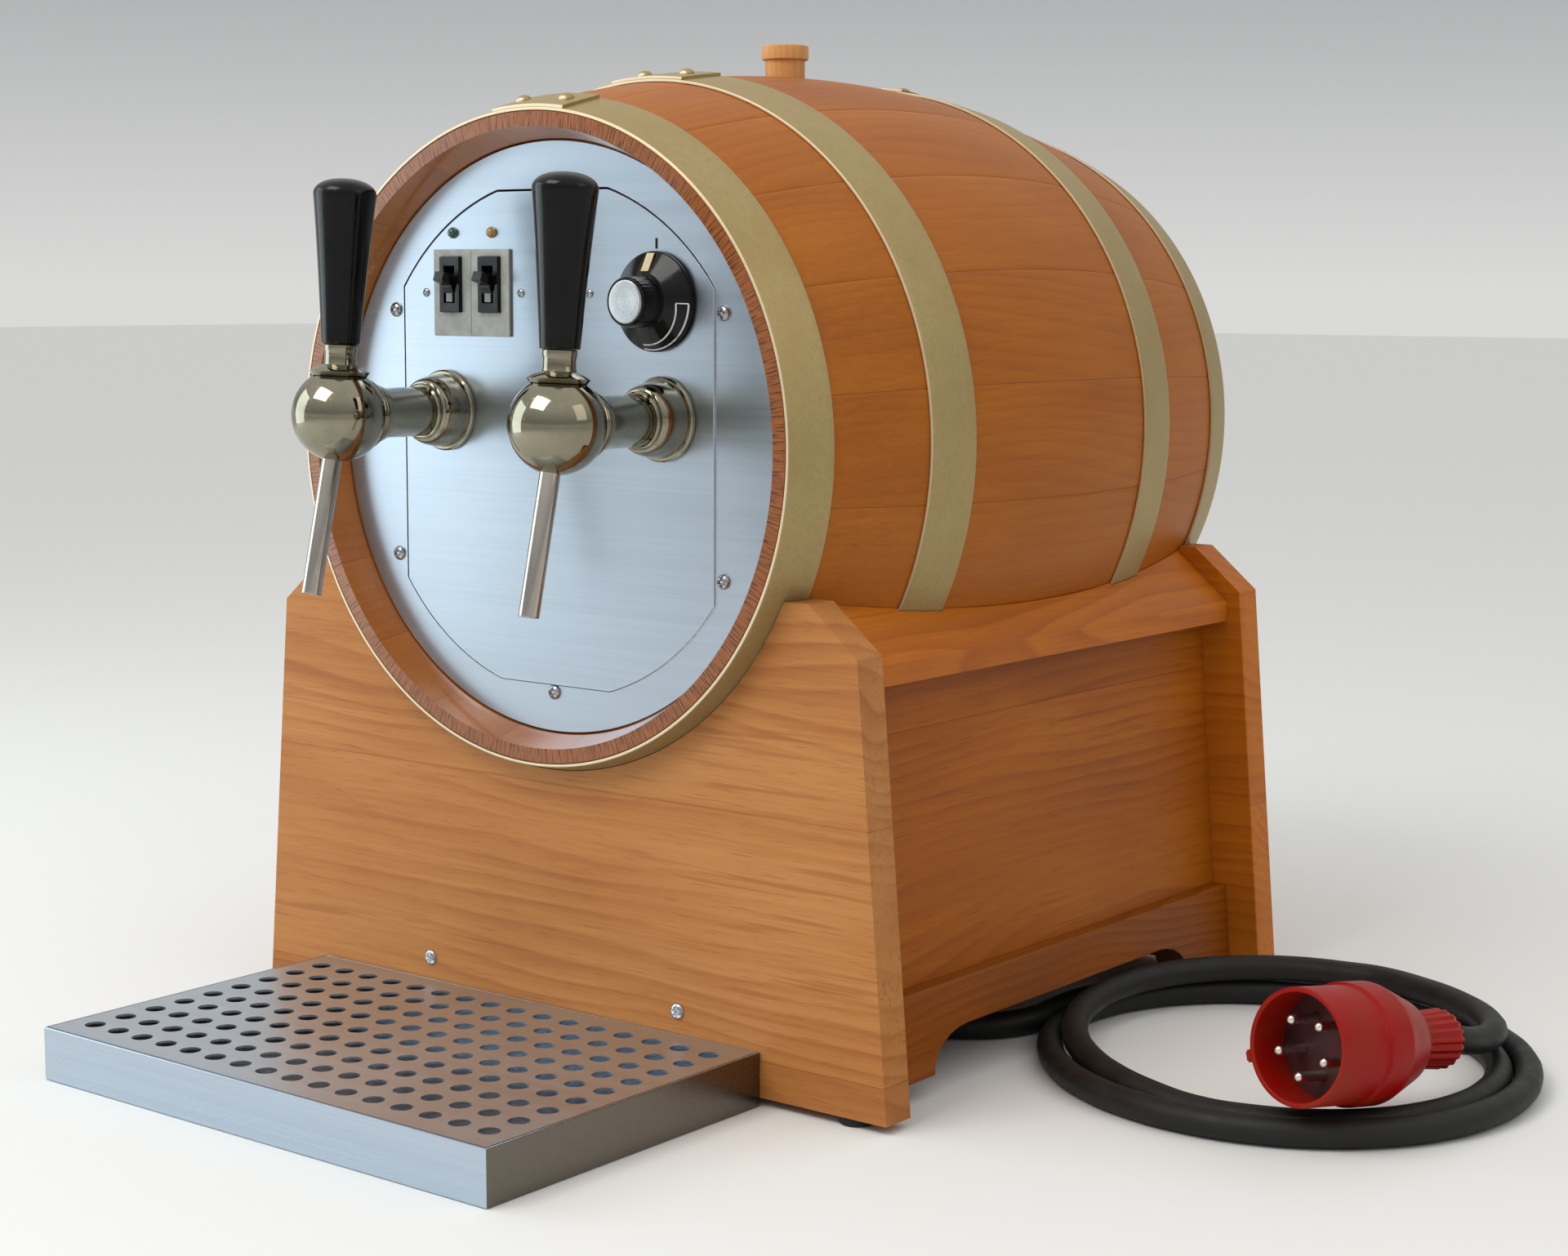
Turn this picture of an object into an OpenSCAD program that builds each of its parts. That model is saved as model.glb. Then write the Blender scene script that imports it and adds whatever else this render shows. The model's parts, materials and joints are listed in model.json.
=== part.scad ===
// Mulled wine dispenser: a heater in a coopered barrel that lies on a wooden cradle,
// with two ball taps, a control panel, a drip tray and a coiled mains lead.
// Lengths are in millimetres. X runs across the front, Y from front to rear, Z up from the floor.

/* [Barrel] */
// Length of the staves
barrel_len = 415; // [400:1:430]
// Radius of the wood at either end
barrel_end_r = 163.5; // [160:0.5:167]
// Radius of the wood at the bilge
barrel_bilge_r = 191.5; // [187:0.5:195]
// Height of the barrel axis above the floor
barrel_axis_z = 320; // [314:1:326]
// How far the barrel stands out in front of the cradle
barrel_overhang = 12; // [8:1:16]
// Number of staves
stave_count = 20; // [16:4:24]
// Thickness of a stave
stave_t = 18; // [16:0.5:19]
// Joint line between two staves
stave_joint = 0.3; // [0.2:0.05:0.4]
// Flat end face of a stave, outside its bevel
chime_face_w = 7.5; // [6:0.5:9]
// Depth of the groove that holds a head
croze_depth = 4; // [3:0.5:5]
// Width of the groove that holds a head
croze_w = 7; // [6:0.5:8]
// Thickness of a head
head_t = 16; // [14:1:18]
// Number of planks in the rear head
head_planks = 6; // [4:2:8]
// Depth of the rear head behind the rear ends of the staves
rear_recess = 20; // [17:1:24]
// Diameter of the bung
bung_d = 22; // [20:0.5:25]
// Diameter of the bung's cap
bung_cap_d = 26; // [26:0.5:30]
// Height of the bung above the barrel
bung_rise = 18; // [15:1:22]
// Thickness of the bung's cap
bung_cap_t = 8; // [6:1:10]

/* [Hoops] */
// Thickness of the hoop iron
hoop_t = 1.6; // [1.2:0.1:2]
// Width of the hoops at the ends
chime_hoop_w = 27; // [24:1:30]
// Width of the quarter hoops
quarter_hoop_w = 32; // [28:1:36]
// Front quarter hoop, from the front end
front_quarter_at = 90; // [80:1:100]
// Rear quarter hoop, from the rear end
rear_quarter_at = 99; // [90:1:110]
// Length of the lapped joint of a hoop
hoop_lap = 48; // [44:1:60]
// Distance between the two rivets of a joint
rivet_pitch = 29; // [24:1:32]
// Radius of a rivet head
rivet_r = 4; // [3:0.5:5]
// Height of a rivet head
rivet_h = 2.6; // [2:0.2:3.4]

/* [Cradle] */
// How far the barrel stands out behind the cradle
rear_overhang = 16; // [8:1:28]
// Thickness of the boards
board_t = 20; // [18:1:24]
// How far the boards stand out past the barrel at the bottom
foot_out = 24.5; // [20.5:0.5:30.5]
// How far the boards stand out past the barrel at the shoulder
shoulder_out = 5.5; // [2.5:0.5:10.5]
// Height of the shoulder
shoulder_z = 225; // [220:1:230]
// How far the top of the boards stands in from the barrel's side
board_top_in = 23.5; // [17.5:0.5:25.5]
// Height of the top of the boards
board_top_z = 249; // [244:1:254]
// Height of the rubber feet
foot_h = 4; // [3:0.5:6]
// Radius of a rubber foot
foot_r = 9; // [7:0.5:9.5]
// Distance of the feet from the outer corner of the boards
foot_in = 24; // [14:1:40]
// How far the side panels stand back from the boards' edges
side_inset = 26.5; // [24:0.5:30]
// Thickness of the side panels
side_t = 12; // [10:0.5:14]
// How far the bottom rails stand proud of the side panels
rail_proud = 8; // [5:0.5:11]
// Underside of the bottom rails beside the boards
rail_low_z = 10; // [8:1:12]
// Underside of the bottom rails in the arch
arch_z = 30; // [29:1:34]
// Top of the bottom rails
rail_top_z = 54; // [50:1:60]
// Length of the bracket beside each board
bracket_len = 48; // [36:1:48]
// Run of the curve from the bracket up to the arch
arch_run = 30; // [20:1:34]
// How far the top rails stand back from the shoulder
ledge_inset = 7; // [4:0.5:10]
// How far the top rails lie below the boards' chamfer
ledge_drop = 12; // [9:0.5:14]
// Thickness of the top rails, measured upright
ledge_t = 11; // [9:0.5:13]
// Distance of the front board's screws from the middle
board_screw_x = 87; // [70:1:100]
// Height of the front board's screws
board_screw_z = 38.5; // [34:0.5:50]

/* [Front] */
// Depth of the front plate behind the front of the barrel
plate_recess = 17.6; // [15:0.2:20]
// Thickness of the front plate
plate_t = 2; // [1.5:0.25:3]
// Gap between the front plate and the staves
plate_gap = 0.4; // [0.3:0.1:0.8]
// Radius of the control panel's rounded corners, about the barrel axis
panel_r = 130.5; // [129:0.5:132]
// Half width of the control panel
panel_half_w = 105.5; // [102:0.5:109]
// Half height of the control panel
panel_half_h = 125; // [122:0.5:127]
// Thickness of the control panel
panel_t = 2; // [1.5:0.25:2.5]
// Depth of the panel's turned-back edge
panel_return = 14; // [10:1:18]
// How far the panel stands proud of the front plate
panel_step = 1; // [0.6:0.1:1.6]
// Gap round the panel in the front plate
panel_gap = 1; // [0.8:0.1:1.4]
// Distance of the plate screws from the panel's edge
plate_screw_edge = 4.5; // [4.5:0.5:7]

/* [Controls] */
// Middle of the switch frame, across
switch_x = -54.5; // [-58:0.5:-50]
// Middle of the switch frame, above the barrel axis
switch_z = 73.75; // [70:0.25:76]
// Width of the switch frame
switch_frame_w = 54; // [52:0.5:57]
// Height of the switch frame
switch_frame_h = 44.5; // [42:0.5:47]
// Thickness of the switch frame
switch_frame_t = 1.5; // [1:0.25:2]
// Distance between the two switches
switch_pitch = 27.6; // [25:0.2:30]
// Width of a switch
switch_w = 14.5; // [13:0.5:16]
// Height of a switch
switch_h = 28.5; // [26:0.5:31]
// Switches above the middle of their frame
switch_up = 4.25; // [3:0.25:5]
// Swing of a toggle
toggle_swing = 40; // [30:1:44]
// Lamps above the barrel axis
lamp_z = 104.5; // [103:0.5:106]
// Radius of a lamp
lamp_r = 2.9; // [2.5:0.1:3.5]
// Middle of the knob, across
knob_x = 70.5; // [66:0.5:74]
// Middle of the knob, above the barrel axis
knob_z = 70; // [67:0.5:72]
// Diameter of the knob's skirt
knob_d = 49; // [44:0.5:52]
// Diameter of the knob's hub
knob_hub_d = 25.5; // [23:0.5:28]
// Height of the knob's hub above the panel
knob_h = 23.5; // [20:0.5:26]

/* [Taps] */
// Distance of each tap from the middle
tap_x = 74.5; // [70:0.5:77]
// Taps above the barrel axis
tap_z = 12.8; // [8:0.2:18]
// Ball middle in front of the panel
tap_reach = 76; // [70:0.5:84]
// Radius of the ball
ball_r = 23.5; // [22:0.5:25]
// Radius of the shank
shank_r = 12.75; // [12:0.25:14]
// Length of the shank behind the panel
shank_tail = 28; // [24:1:34]
// Radius of the rosette
rosette_r = 21; // [19:0.5:23]
// Length of the rosette
rosette_len = 20; // [17:0.5:24]
// Radius of the turning valve plug
valve_r = 11; // [11:0.25:12]
// Half length of the valve plug
valve_half = 14; // [12:0.5:15]
// Radius of the passages in the valve
port_r = 2.2; // [1.8:0.1:2.2]
// Opening swing of a lever
lever_swing = 24; // [24:1:26]
// Backward lean of a closed lever
lever_lean = 3.5; // [0:0.5:6]
// Radius of the lever's stem in the ball
stem_r = 3.5; // [3:0.25:4]
// Half angle of the lever's skirt on the ball
skirt_angle = 35; // [35:1:40]
// Thickness of the lever's skirt
skirt_t = 2.6; // [2:0.2:3.2]
// Foot of the handle, from the ball middle
handle_from = 35.5; // [33:0.5:39]
// Length of the handle
handle_len = 82; // [74:1:92]
// Radius of the handle's foot
handle_foot_r = 9.7; // [8.5:0.1:11]
// Radius of the handle's head
handle_head_r = 15.7; // [13:0.1:17]
// Outer radius of a spout
spout_r = 5; // [4.5:0.1:6]
// Wall of a spout
spout_wall = 1.5; // [1:0.1:1.8]
// Spout end, from the ball middle
spout_end = 91; // [80:1:100]
// Forward lean of a spout
spout_lean = 13; // [8:0.5:18]

/* [Heater] */
// Radius of the water bath
tank_r = 92; // [90:1:96]
// Wall of the water bath
tank_wall = 1.5; // [1:0.25:2]
// Front of the bath behind the panel
tank_from = 95; // [85:1:105]
// Room between the bath and the rear head
tank_rear_room = 37.4; // [27.4:0.2:52.4]
// Outer radius of a wine line
line_r = 6; // [5:0.25:7]
// Bore radius of a wine line
line_bore_r = 4.5; // [3.5:0.25:4.75]
// Radius of an inlet stem for a hose coupling
inlet_r = 4.76; // [4:0.01:6]
// Length of an inlet stem
inlet_len = 22; // [18:1:28]
// Radius of a heating element
element_r = 4; // [3:0.25:5]
// How much shorter than the bath the heating elements are
element_short = 40; // [30:1:60]

/* [Drip tray] */
// Width of the tray
tray_w = 309; // [290:1:320]
// Depth of the tray
tray_d = 190; // [170:1:210]
// Height of the tray
tray_h = 27; // [24:0.5:32]
// Middle of the tray, across
tray_x = -14.5; // [-30:0.5:15]
// Thickness of the tray's sheet
tray_sheet = 1.2; // [1:0.1:1.6]
// Width of the ledge that carries the grid
tray_ledge = 6; // [5:0.5:8]
// Gap round the grid in the tray
grid_gap = 1.2; // [1.2:0.1:2]
// Diameter of the holes in the grid
grid_hole_d = 10.5; // [8:0.5:11]
// Distance between holes, across
grid_pitch = 18.4; // [18.4:0.1:22]
// Distance between rows of holes
grid_row_pitch = 19; // [18:0.5:22]
// Plain border round the holes
grid_border = 8.5; // [8:0.5:14]

/* [Lead] */
// Diameter of the rubber cable
cord_d = 14; // [13.5:0.1:14.1]
// Radius of the plug's shroud
plug_r = 28; // [27:0.5:28.5]
// Length of the plug with its boot
plug_len = 114; // [110:1:118]
// Depth of the shroud in front of the insert
shroud_deep = 34; // [30:1:38]

/* [Hidden] */
$fn = 48;

// Clearances: hoop over the staves, wood on wood, shaft in its bore, other moving neighbours,
// fixed piece in its hole, rivet head over its hoop
hoop_clear = 0.15;
seat_clear = 0.3;
run_clear = 0.05;
move_clear = 0.35;
fit_clear = 0.1;
rivet_lift = 0.1;
// How far a hoop's lapped end stops short of the hoop's edges
lap_edge = 0.4;
// Straight steps along a stave
stave_steps = 16;
// Flange of an inlet coupling
inlet_flange_t = 6;

barrel_y = -barrel_overhang;
panel_y = barrel_y + plate_recess - panel_step;
head_y = plate_recess + plate_t;
front_croze = head_y + (head_t - croze_w) / 2;
rear_croze = rear_recess + (head_t - croze_w) / 2;

function wood_r(t) =
    barrel_end_r + (barrel_bilge_r - barrel_end_r) * (1 - pow(2 * t / barrel_len - 1, 2));
function inner_r(t) = wood_r(t) - stave_t;

// The part stands with the middle of its footprint over the origin
tray_gap = move_clear;
inlet_end_y = barrel_y + barrel_len - rear_recess + inlet_flange_t + inlet_len;
front_y = -tray_gap - tray_d;
rear_y = max(barrel_y + barrel_len, inlet_end_y);
mid_y = (front_y + rear_y) / 2;

module place() {
    translate([0, -mid_y, 0]) children();
}

// Along the barrel: local Z runs from the front end to the rear
module on_barrel() {
    place() translate([0, barrel_y, barrel_axis_z]) rotate([-90, 0, 0]) children();
}

// On the panel: local X across, local Y up, local Z out of the panel's face
module on_panel() {
    place() translate([0, panel_y, barrel_axis_z]) rotate([90, 0, 0]) children();
}

// An outline in X and Z, extruded from y0 towards the rear
module upright(y0, depth) {
    translate([0, y0 + depth, 0]) rotate([90, 0, 0]) linear_extrude(depth) children();
}

module dome(r, h) {
    rotate_extrude() polygon(concat([[0, 0]], [for (a = [0 : 15 : 90]) [r * cos(a), h * sin(a)]]));
}

module screw(head_r, head_h, shank_r, shank_len) {
    dome(head_r, head_h);
    translate([0, 0, -shank_len]) cylinder(h = shank_len, r = shank_r);
}

// Cradle
cradle_len = barrel_len - barrel_overhang - rear_overhang;
foot_half_w = barrel_bilge_r + foot_out;
shoulder_half_w = barrel_bilge_r + shoulder_out;
board_top_half_w = barrel_bilge_r - board_top_in;
chamfer_slope = (board_top_z - shoulder_z) / (shoulder_half_w - board_top_half_w);
ledge_out_x = shoulder_half_w - ledge_inset;
side_len = cradle_len - 2 * board_t;
rail_t = rail_proud + side_t;
board_screw_r = 4.2;
board_screw_h = 2.2;
board_screw_shank = 2;
board_screw_len = 15;

function edge_x(z) =
    foot_half_w - (z - foot_h) * (foot_half_w - shoulder_half_w) / (shoulder_z - foot_h);
function ledge_top(x) =
    shoulder_z - ledge_drop + (shoulder_half_w - x) * chamfer_slope;

module barrel_envelope() {
    rotate_extrude() polygon(concat(
        [[0, 0]],
        [for (i = [0 : stave_steps]) let (t = barrel_len * i / stave_steps) [wood_r(t) + seat_clear, t]],
        [[0, barrel_len]]
    ));
    hoop_ring(0, chime_hoop_w, seat_clear);
    hoop_ring(barrel_len - chime_hoop_w, chime_hoop_w, seat_clear);
    hoop_ring(front_quarter_at, quarter_hoop_w, seat_clear);
    hoop_ring(barrel_len - rear_quarter_at - quarter_hoop_w, quarter_hoop_w, seat_clear);
}

module board(y0) {
    difference() {
        place() upright(y0, board_t) polygon([
            [-foot_half_w, foot_h], [foot_half_w, foot_h],
            [shoulder_half_w, shoulder_z], [board_top_half_w, board_top_z],
            [-board_top_half_w, board_top_z], [-shoulder_half_w, shoulder_z]
        ]);
        on_barrel() barrel_envelope();
    }
}

module front_board() {
    color("peru") difference() {
        board(0);
        for (s = [-1, 1])
            place() translate([s * board_screw_x, 0, board_screw_z]) rotate([-90, 0, 0])
                cylinder(h = board_screw_len + 1, r = board_screw_shank + fit_clear);
    }
}

module rear_board() {
    color("peru") board(cradle_len - board_t);
}

module board_screws() {
    color("silver") for (s = [-1, 1])
        place() translate([s * board_screw_x, 0, board_screw_z]) rotate([90, 0, 0])
            screw(board_screw_r, board_screw_h, board_screw_shank, board_screw_len);
}

module side_panel() {
    low_out = edge_x(rail_top_z) - side_inset;
    high_z = ledge_top(ledge_out_x) - ledge_t;
    high_out = edge_x(high_z) - side_inset;
    difference() {
        place() upright(board_t, side_len) polygon([
            [low_out - side_t, rail_top_z], [low_out, rail_top_z],
            [high_out, ledge_top(high_out) - ledge_t],
            [high_out - side_t, ledge_top(high_out - side_t) - ledge_t]
        ]);
        on_barrel() barrel_envelope();
    }
}

module side_panel_right() {
    color("chocolate") side_panel();
}

module side_panel_left() {
    color("chocolate") mirror([1, 0, 0]) side_panel();
}

module top_rail() {
    inner_x = board_top_half_w - 2 * stave_t;
    difference() {
        place() upright(board_t, side_len) polygon([
            [ledge_out_x, ledge_top(ledge_out_x) - ledge_t], [ledge_out_x, ledge_top(ledge_out_x)],
            [inner_x, ledge_top(inner_x)], [inner_x, ledge_top(inner_x) - ledge_t]
        ]);
        on_barrel() barrel_envelope();
    }
}

module top_rails() {
    color("peru") {
        top_rail();
        mirror([1, 0, 0]) top_rail();
    }
}

module arch_outline() {
    y0 = board_t + bracket_len;
    y1 = cradle_len - board_t - bracket_len;
    rise = arch_z - rail_low_z;
    polygon(concat(
        [[y0, 0]],
        [for (a = [0 : 15 : 90]) [y0 + arch_run * (1 - cos(a)), rail_low_z + rise * sin(a)]],
        [for (a = [90 : -15 : 0]) [y1 - arch_run * (1 - cos(a)), rail_low_z + rise * sin(a)]],
        [[y1, 0]]
    ));
}

module bottom_rail() {
    outer = side_inset - rail_proud;
    difference() {
        place() upright(board_t, side_len) polygon([
            [edge_x(rail_low_z) - outer - rail_t, rail_low_z], [edge_x(rail_low_z) - outer, rail_low_z],
            [edge_x(rail_top_z) - outer, rail_top_z], [edge_x(rail_top_z) - outer - rail_t, rail_top_z]
        ]);
        place() rotate([90, 0, 90]) linear_extrude(foot_half_w) arch_outline();
    }
}

module bottom_rail_right() {
    color("peru") bottom_rail();
}

module bottom_rail_left() {
    color("peru") mirror([1, 0, 0]) bottom_rail();
}

module rubber_feet() {
    color("black") for (s = [-1, 1], y = [board_t / 2, cradle_len - board_t / 2])
        place() translate([s * (foot_half_w - foot_in), y, 0]) cylinder(h = foot_h, r = foot_r);
}

// Barrel
function stave_profile() = concat(
    [for (i = [0 : stave_steps]) let (t = barrel_len * i / stave_steps) [wood_r(t), t]],
    [[barrel_end_r - chime_face_w, barrel_len]],
    croze_points(barrel_len - rear_recess, barrel_len - rear_croze, -1),
    [for (i = [1 : stave_steps - 1])
        let (a = barrel_len - rear_croze - croze_w, b = front_croze + croze_w,
             t = a + (b - a) * i / stave_steps) [inner_r(t), t]],
    croze_points(plate_recess, front_croze, 1, true),
    [[barrel_end_r - chime_face_w, 0]]
);

// The bevel's foot and the groove's four corners, towards the middle or away from it
function croze_points(bevel_t, groove_t, way, outward = false) =
    let (far = groove_t + way * croze_w,
         run = [[inner_r(bevel_t), bevel_t], [inner_r(groove_t), groove_t],
                [inner_r(groove_t) + croze_depth, groove_t], [inner_r(groove_t) + croze_depth, far],
                [inner_r(far), far]])
    outward ? [for (i = [4 : -1 : 0]) run[i]] : run;

module barrel_staves() {
    step = 360 / stave_count;
    joint = stave_joint / barrel_bilge_r * 180 / PI;
    color("sienna") difference() {
        on_barrel() for (i = [0 : stave_count - 1])
            rotate([0, 0, i * step - 90 - (step - joint) / 2])
                rotate_extrude(angle = step - joint) polygon(stave_profile());
        place() translate([0, bung_y, barrel_axis_z])
            cylinder(h = barrel_bilge_r + 1, r = bung_d / 2 + fit_clear);
        place() translate([0, gland_y, 0])
            cylinder(h = barrel_axis_z, r = gland_r + fit_clear);
    }
}

// A hoop's ring, or with extra the room that it needs
module hoop_ring(from, width, extra) {
    at = [from - extra, from + width / 2, from + width + extra];
    rotate_extrude() polygon(concat(
        [for (t = at) [wood_r(t) + hoop_clear - extra, t]],
        [for (i = [2 : -1 : 0]) [wood_r(at[i]) + hoop_clear + hoop_t + extra, at[i]]]
    ));
}

module hoop(from, width) {
    at = [from + lap_edge, from + width / 2, from + width - lap_edge];
    lap = hoop_lap / wood_r(at[1]) * 180 / PI;
    color("darkkhaki") on_barrel() {
        hoop_ring(from, width, 0);
        rotate([0, 0, -90 - lap / 2]) rotate_extrude(angle = lap) polygon(concat(
            [for (t = at) [wood_r(t) + hoop_clear + hoop_t / 2, t]],
            [for (i = [2 : -1 : 0]) [wood_r(at[i]) + hoop_clear + 2 * hoop_t, at[i]]]
        ));
    }
}

module chime_hoops() {
    hoop(0, chime_hoop_w);
    hoop(barrel_len - chime_hoop_w, chime_hoop_w);
}

module quarter_hoops() {
    hoop(front_quarter_at, quarter_hoop_w);
    hoop(barrel_len - rear_quarter_at - quarter_hoop_w, quarter_hoop_w);
}

module hoop_rivets() {
    middles = [chime_hoop_w / 2, front_quarter_at + quarter_hoop_w / 2,
               barrel_len - rear_quarter_at - quarter_hoop_w / 2, barrel_len - chime_hoop_w / 2];
    color("darkkhaki") on_barrel() for (t = middles, s = [-1, 1]) {
        r = wood_r(t) + hoop_clear + 2 * hoop_t + rivet_lift;
        slope = atan(4 * (barrel_bilge_r - barrel_end_r) * (1 - 2 * t / barrel_len) / barrel_len);
        turn = s * rivet_pitch / 2 / r * 180 / PI;
        rotate([0, 0, turn - 90]) translate([r, 0, t]) rotate([0, 90 + slope, 0]) dome(rivet_r, rivet_h);
    }
}

bung_y = barrel_y + barrel_len / 2;
bung_top_z = barrel_axis_z + barrel_bilge_r + bung_rise;

module bung() {
    color("sandybrown") place() translate([0, bung_y, 0]) {
        translate([0, 0, bung_top_z - bung_cap_t]) cylinder(h = bung_cap_t, r = bung_cap_d / 2);
        translate([0, 0, bung_top_z - bung_rise - stave_t])
            cylinder(h = bung_rise + stave_t, r = bung_d / 2);
    }
}

// A head: a disc whose edge has a tongue in the groove of the staves
module head_disc(face_t, groove_t) {
    r = min(inner_r(face_t), inner_r(face_t + head_t)) - seat_clear;
    tongue_r = min(inner_r(groove_t), inner_r(groove_t + croze_w)) + croze_depth - 2 * seat_clear;
    rotate_extrude() polygon([
        [0, face_t], [r, face_t], [r, groove_t + seat_clear], [tongue_r, groove_t + seat_clear],
        [tongue_r, groove_t + croze_w - seat_clear], [r, groove_t + croze_w - seat_clear],
        [r, face_t + head_t], [0, face_t + head_t]
    ]);
}

module front_head() {
    color("sienna") difference() {
        on_barrel() difference() {
            head_disc(head_y, front_croze);
            translate([0, 0, head_y - 1]) linear_extrude(head_t + 2) panel_outline(1.5 * panel_gap);
        }
        on_panel() plate_screw_places() plate_screw_hole();
    }
}

module rear_head() {
    face = barrel_len - rear_recess - head_t;
    half = head_planks / 2;
    // each inlet lies in the middle of the second plank, and the outer planks reach past the disc
    inlet_planks = 1.5;
    width = tap_x / inlet_planks;
    color("sienna") on_barrel() difference() {
        intersection() {
            head_disc(face, barrel_len - rear_croze - croze_w);
            for (i = [0 : half - 1], side = [0, 1]) mirror([side, 0, 0]) {
                plank_w = i < half - 1 ? width : barrel_bilge_r;
                translate([i * width + stave_joint / 2, -barrel_bilge_r, face])
                    cube([plank_w - stave_joint, 2 * barrel_bilge_r, head_t]);
            }
        }
        for (s = [-1, 1])
            translate([s * tap_x, -tap_z, face - 1])
                cylinder(h = head_t + 2, r = inlet_body_r + fit_clear);
    }
}

// Front plate and control panel
plate_r = inner_r(plate_recess) - plate_gap;
plate_screw_ring = max(panel_half_h, (panel_half_w + 1) / cos(30)) + plate_screw_edge;
plate_screw_r = 3.9;
plate_screw_h = 2.6;
plate_screw_shank = 1.7;
plate_screw_len = 14;

// The panel's outline, a disc with four flats, grown all round
module panel_outline(grow) {
    intersection() {
        circle(panel_r + grow);
        square([2 * (panel_half_w + grow), 2 * (panel_half_h + grow)], center = true);
    }
}

module plate_screw_places() {
    for (a = [30 : 60 : 330])
        rotate([0, 0, a]) translate([plate_screw_ring, 0, -panel_step]) children();
}

module plate_screw_hole() {
    translate([0, 0, -plate_screw_len - 1])
        cylinder(h = plate_screw_len + 2, r = plate_screw_shank + fit_clear);
}

module front_plate() {
    color("gainsboro") on_panel() difference() {
        translate([0, 0, -panel_step - plate_t]) linear_extrude(plate_t) difference() {
            circle(plate_r);
            panel_outline(panel_gap);
        }
        plate_screw_places() plate_screw_hole();
    }
}

module plate_screws() {
    color("silver") on_panel() plate_screw_places()
        screw(plate_screw_r, plate_screw_h, plate_screw_shank, plate_screw_len);
}

panel_screw_r = 2.3;
panel_screw_h = 1.4;
panel_screw_shank = 1.2;
panel_screw_len = 8;
frame_screw_margin = 7;
stay_screw_x = 26.5;
switch_body_w = switch_w - 2.5;
switch_body_h = switch_h - 2.5;
switch_body_deep = 24;
switch_proud = 2;
lamp_shank_r = lamp_r - 0.5;
lamp_len = 14;
bush_r = 5;
shaft_r = 3;

module panel_screw_places() {
    frame_x = switch_frame_w / 2 + frame_screw_margin;
    for (x = [switch_x - frame_x, switch_x + frame_x, stay_screw_x])
        translate([x, switch_z, 0]) children();
}

module switch_places() {
    for (s = [-1, 1])
        translate([switch_x + s * switch_pitch / 2, switch_z + switch_up, 0]) children();
}

module lamp_place(s) {
    translate([switch_x + s * switch_pitch / 2, lamp_z, 0]) children();
}

module tap_places() {
    for (s = [-1, 1]) translate([s * tap_x, tap_z, 0]) children();
}

module control_panel() {
    color("gainsboro") on_panel() difference() {
        union() {
            translate([0, 0, -panel_t]) linear_extrude(panel_t) panel_outline(0);
            translate([0, 0, -panel_return]) linear_extrude(panel_return - panel_t / 2) difference() {
                panel_outline(0);
                panel_outline(-panel_t);
            }
        }
        translate([0, 0, -panel_t - 1]) linear_extrude(panel_t + 2) {
            tap_places() circle(shank_r + fit_clear);
            switch_places()
                square([switch_body_w + 2 * fit_clear, switch_body_h + 2 * fit_clear], center = true);
            for (s = [-1, 1]) lamp_place(s) circle(lamp_shank_r + fit_clear);
            translate([knob_x, knob_z]) circle(bush_r + fit_clear);
            panel_screw_places() circle(panel_screw_shank + fit_clear);
        }
    }
}

module panel_screws() {
    color("silver") on_panel() panel_screw_places()
        screw(panel_screw_r, panel_screw_h, panel_screw_shank, panel_screw_len);
}

module switch_frame() {
    color("lightgray") on_panel() linear_extrude(switch_frame_t) difference() {
        translate([switch_x, switch_z]) square([switch_frame_w, switch_frame_h], center = true);
        switch_places() square([switch_w + 2 * fit_clear, switch_h + 2 * fit_clear], center = true);
    }
}

// A switch: bezel on the panel, body behind it and a turning toggle in its window
toggle_r = 6.5;
toggle_w = 7;
toggle_axis = -1;
toggle_len = 13;
toggle_t = 5;
toggle_window = 19;
toggle_rest = toggle_swing / 2;

module switch_bodies() {
    front = switch_frame_t + switch_proud;
    color("dimgray") on_panel() switch_places() difference() {
        union() {
            translate([-switch_w / 2, -switch_h / 2, 0]) cube([switch_w, switch_h, front]);
            translate([-switch_body_w / 2, -switch_body_h / 2, -switch_body_deep])
                cube([switch_body_w, switch_body_h, switch_body_deep]);
        }
        translate([-toggle_w / 2 - move_clear, 0, toggle_axis]) rotate([0, 90, 0])
            cylinder(h = toggle_w + 2 * move_clear, r = toggle_r + move_clear);
        translate([-toggle_w / 2 - move_clear, -toggle_window / 2, toggle_axis])
            cube([toggle_w + 2 * move_clear, toggle_window, front - toggle_axis + 1]);
    }
}

module toggle(s) {
    at = [switch_x + s * switch_pitch / 2, switch_z + switch_up, toggle_axis];
    color("black") on_panel() translate(at)
        rotate([-toggle_rest, 0, 0]) {
            translate([-toggle_w / 2, 0, 0]) rotate([0, 90, 0]) cylinder(h = toggle_w, r = toggle_r);
            translate([-toggle_w / 2, -toggle_t / 2, 0]) cube([toggle_w, toggle_t, toggle_len]);
        }
}

module toggle_left() {
    toggle(-1);
}

module toggle_right() {
    toggle(1);
}

module lamp(s) {
    on_panel() lamp_place(s) screw(lamp_r, lamp_r * 0.7, lamp_shank_r, lamp_len);
}

module lamp_green() {
    color("darkgreen") lamp(-1);
}

module lamp_amber() {
    color("darkorange") lamp(1);
}

// Thermostat and its knob
thermostat_size = 34;
thermostat_deep = 24;
knob_lift = 0.8;
knob_rim = 2.8;
knob_cone_z = 9.5;
knob_cap_r = knob_hub_d / 2 - 2.2;
knob_cap_t = 1.6;
knob_cap_proud = 0.3;
knob_bore_deep = 3;
pointer_w = 4.6;
pointer_t = 0.6;

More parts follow.
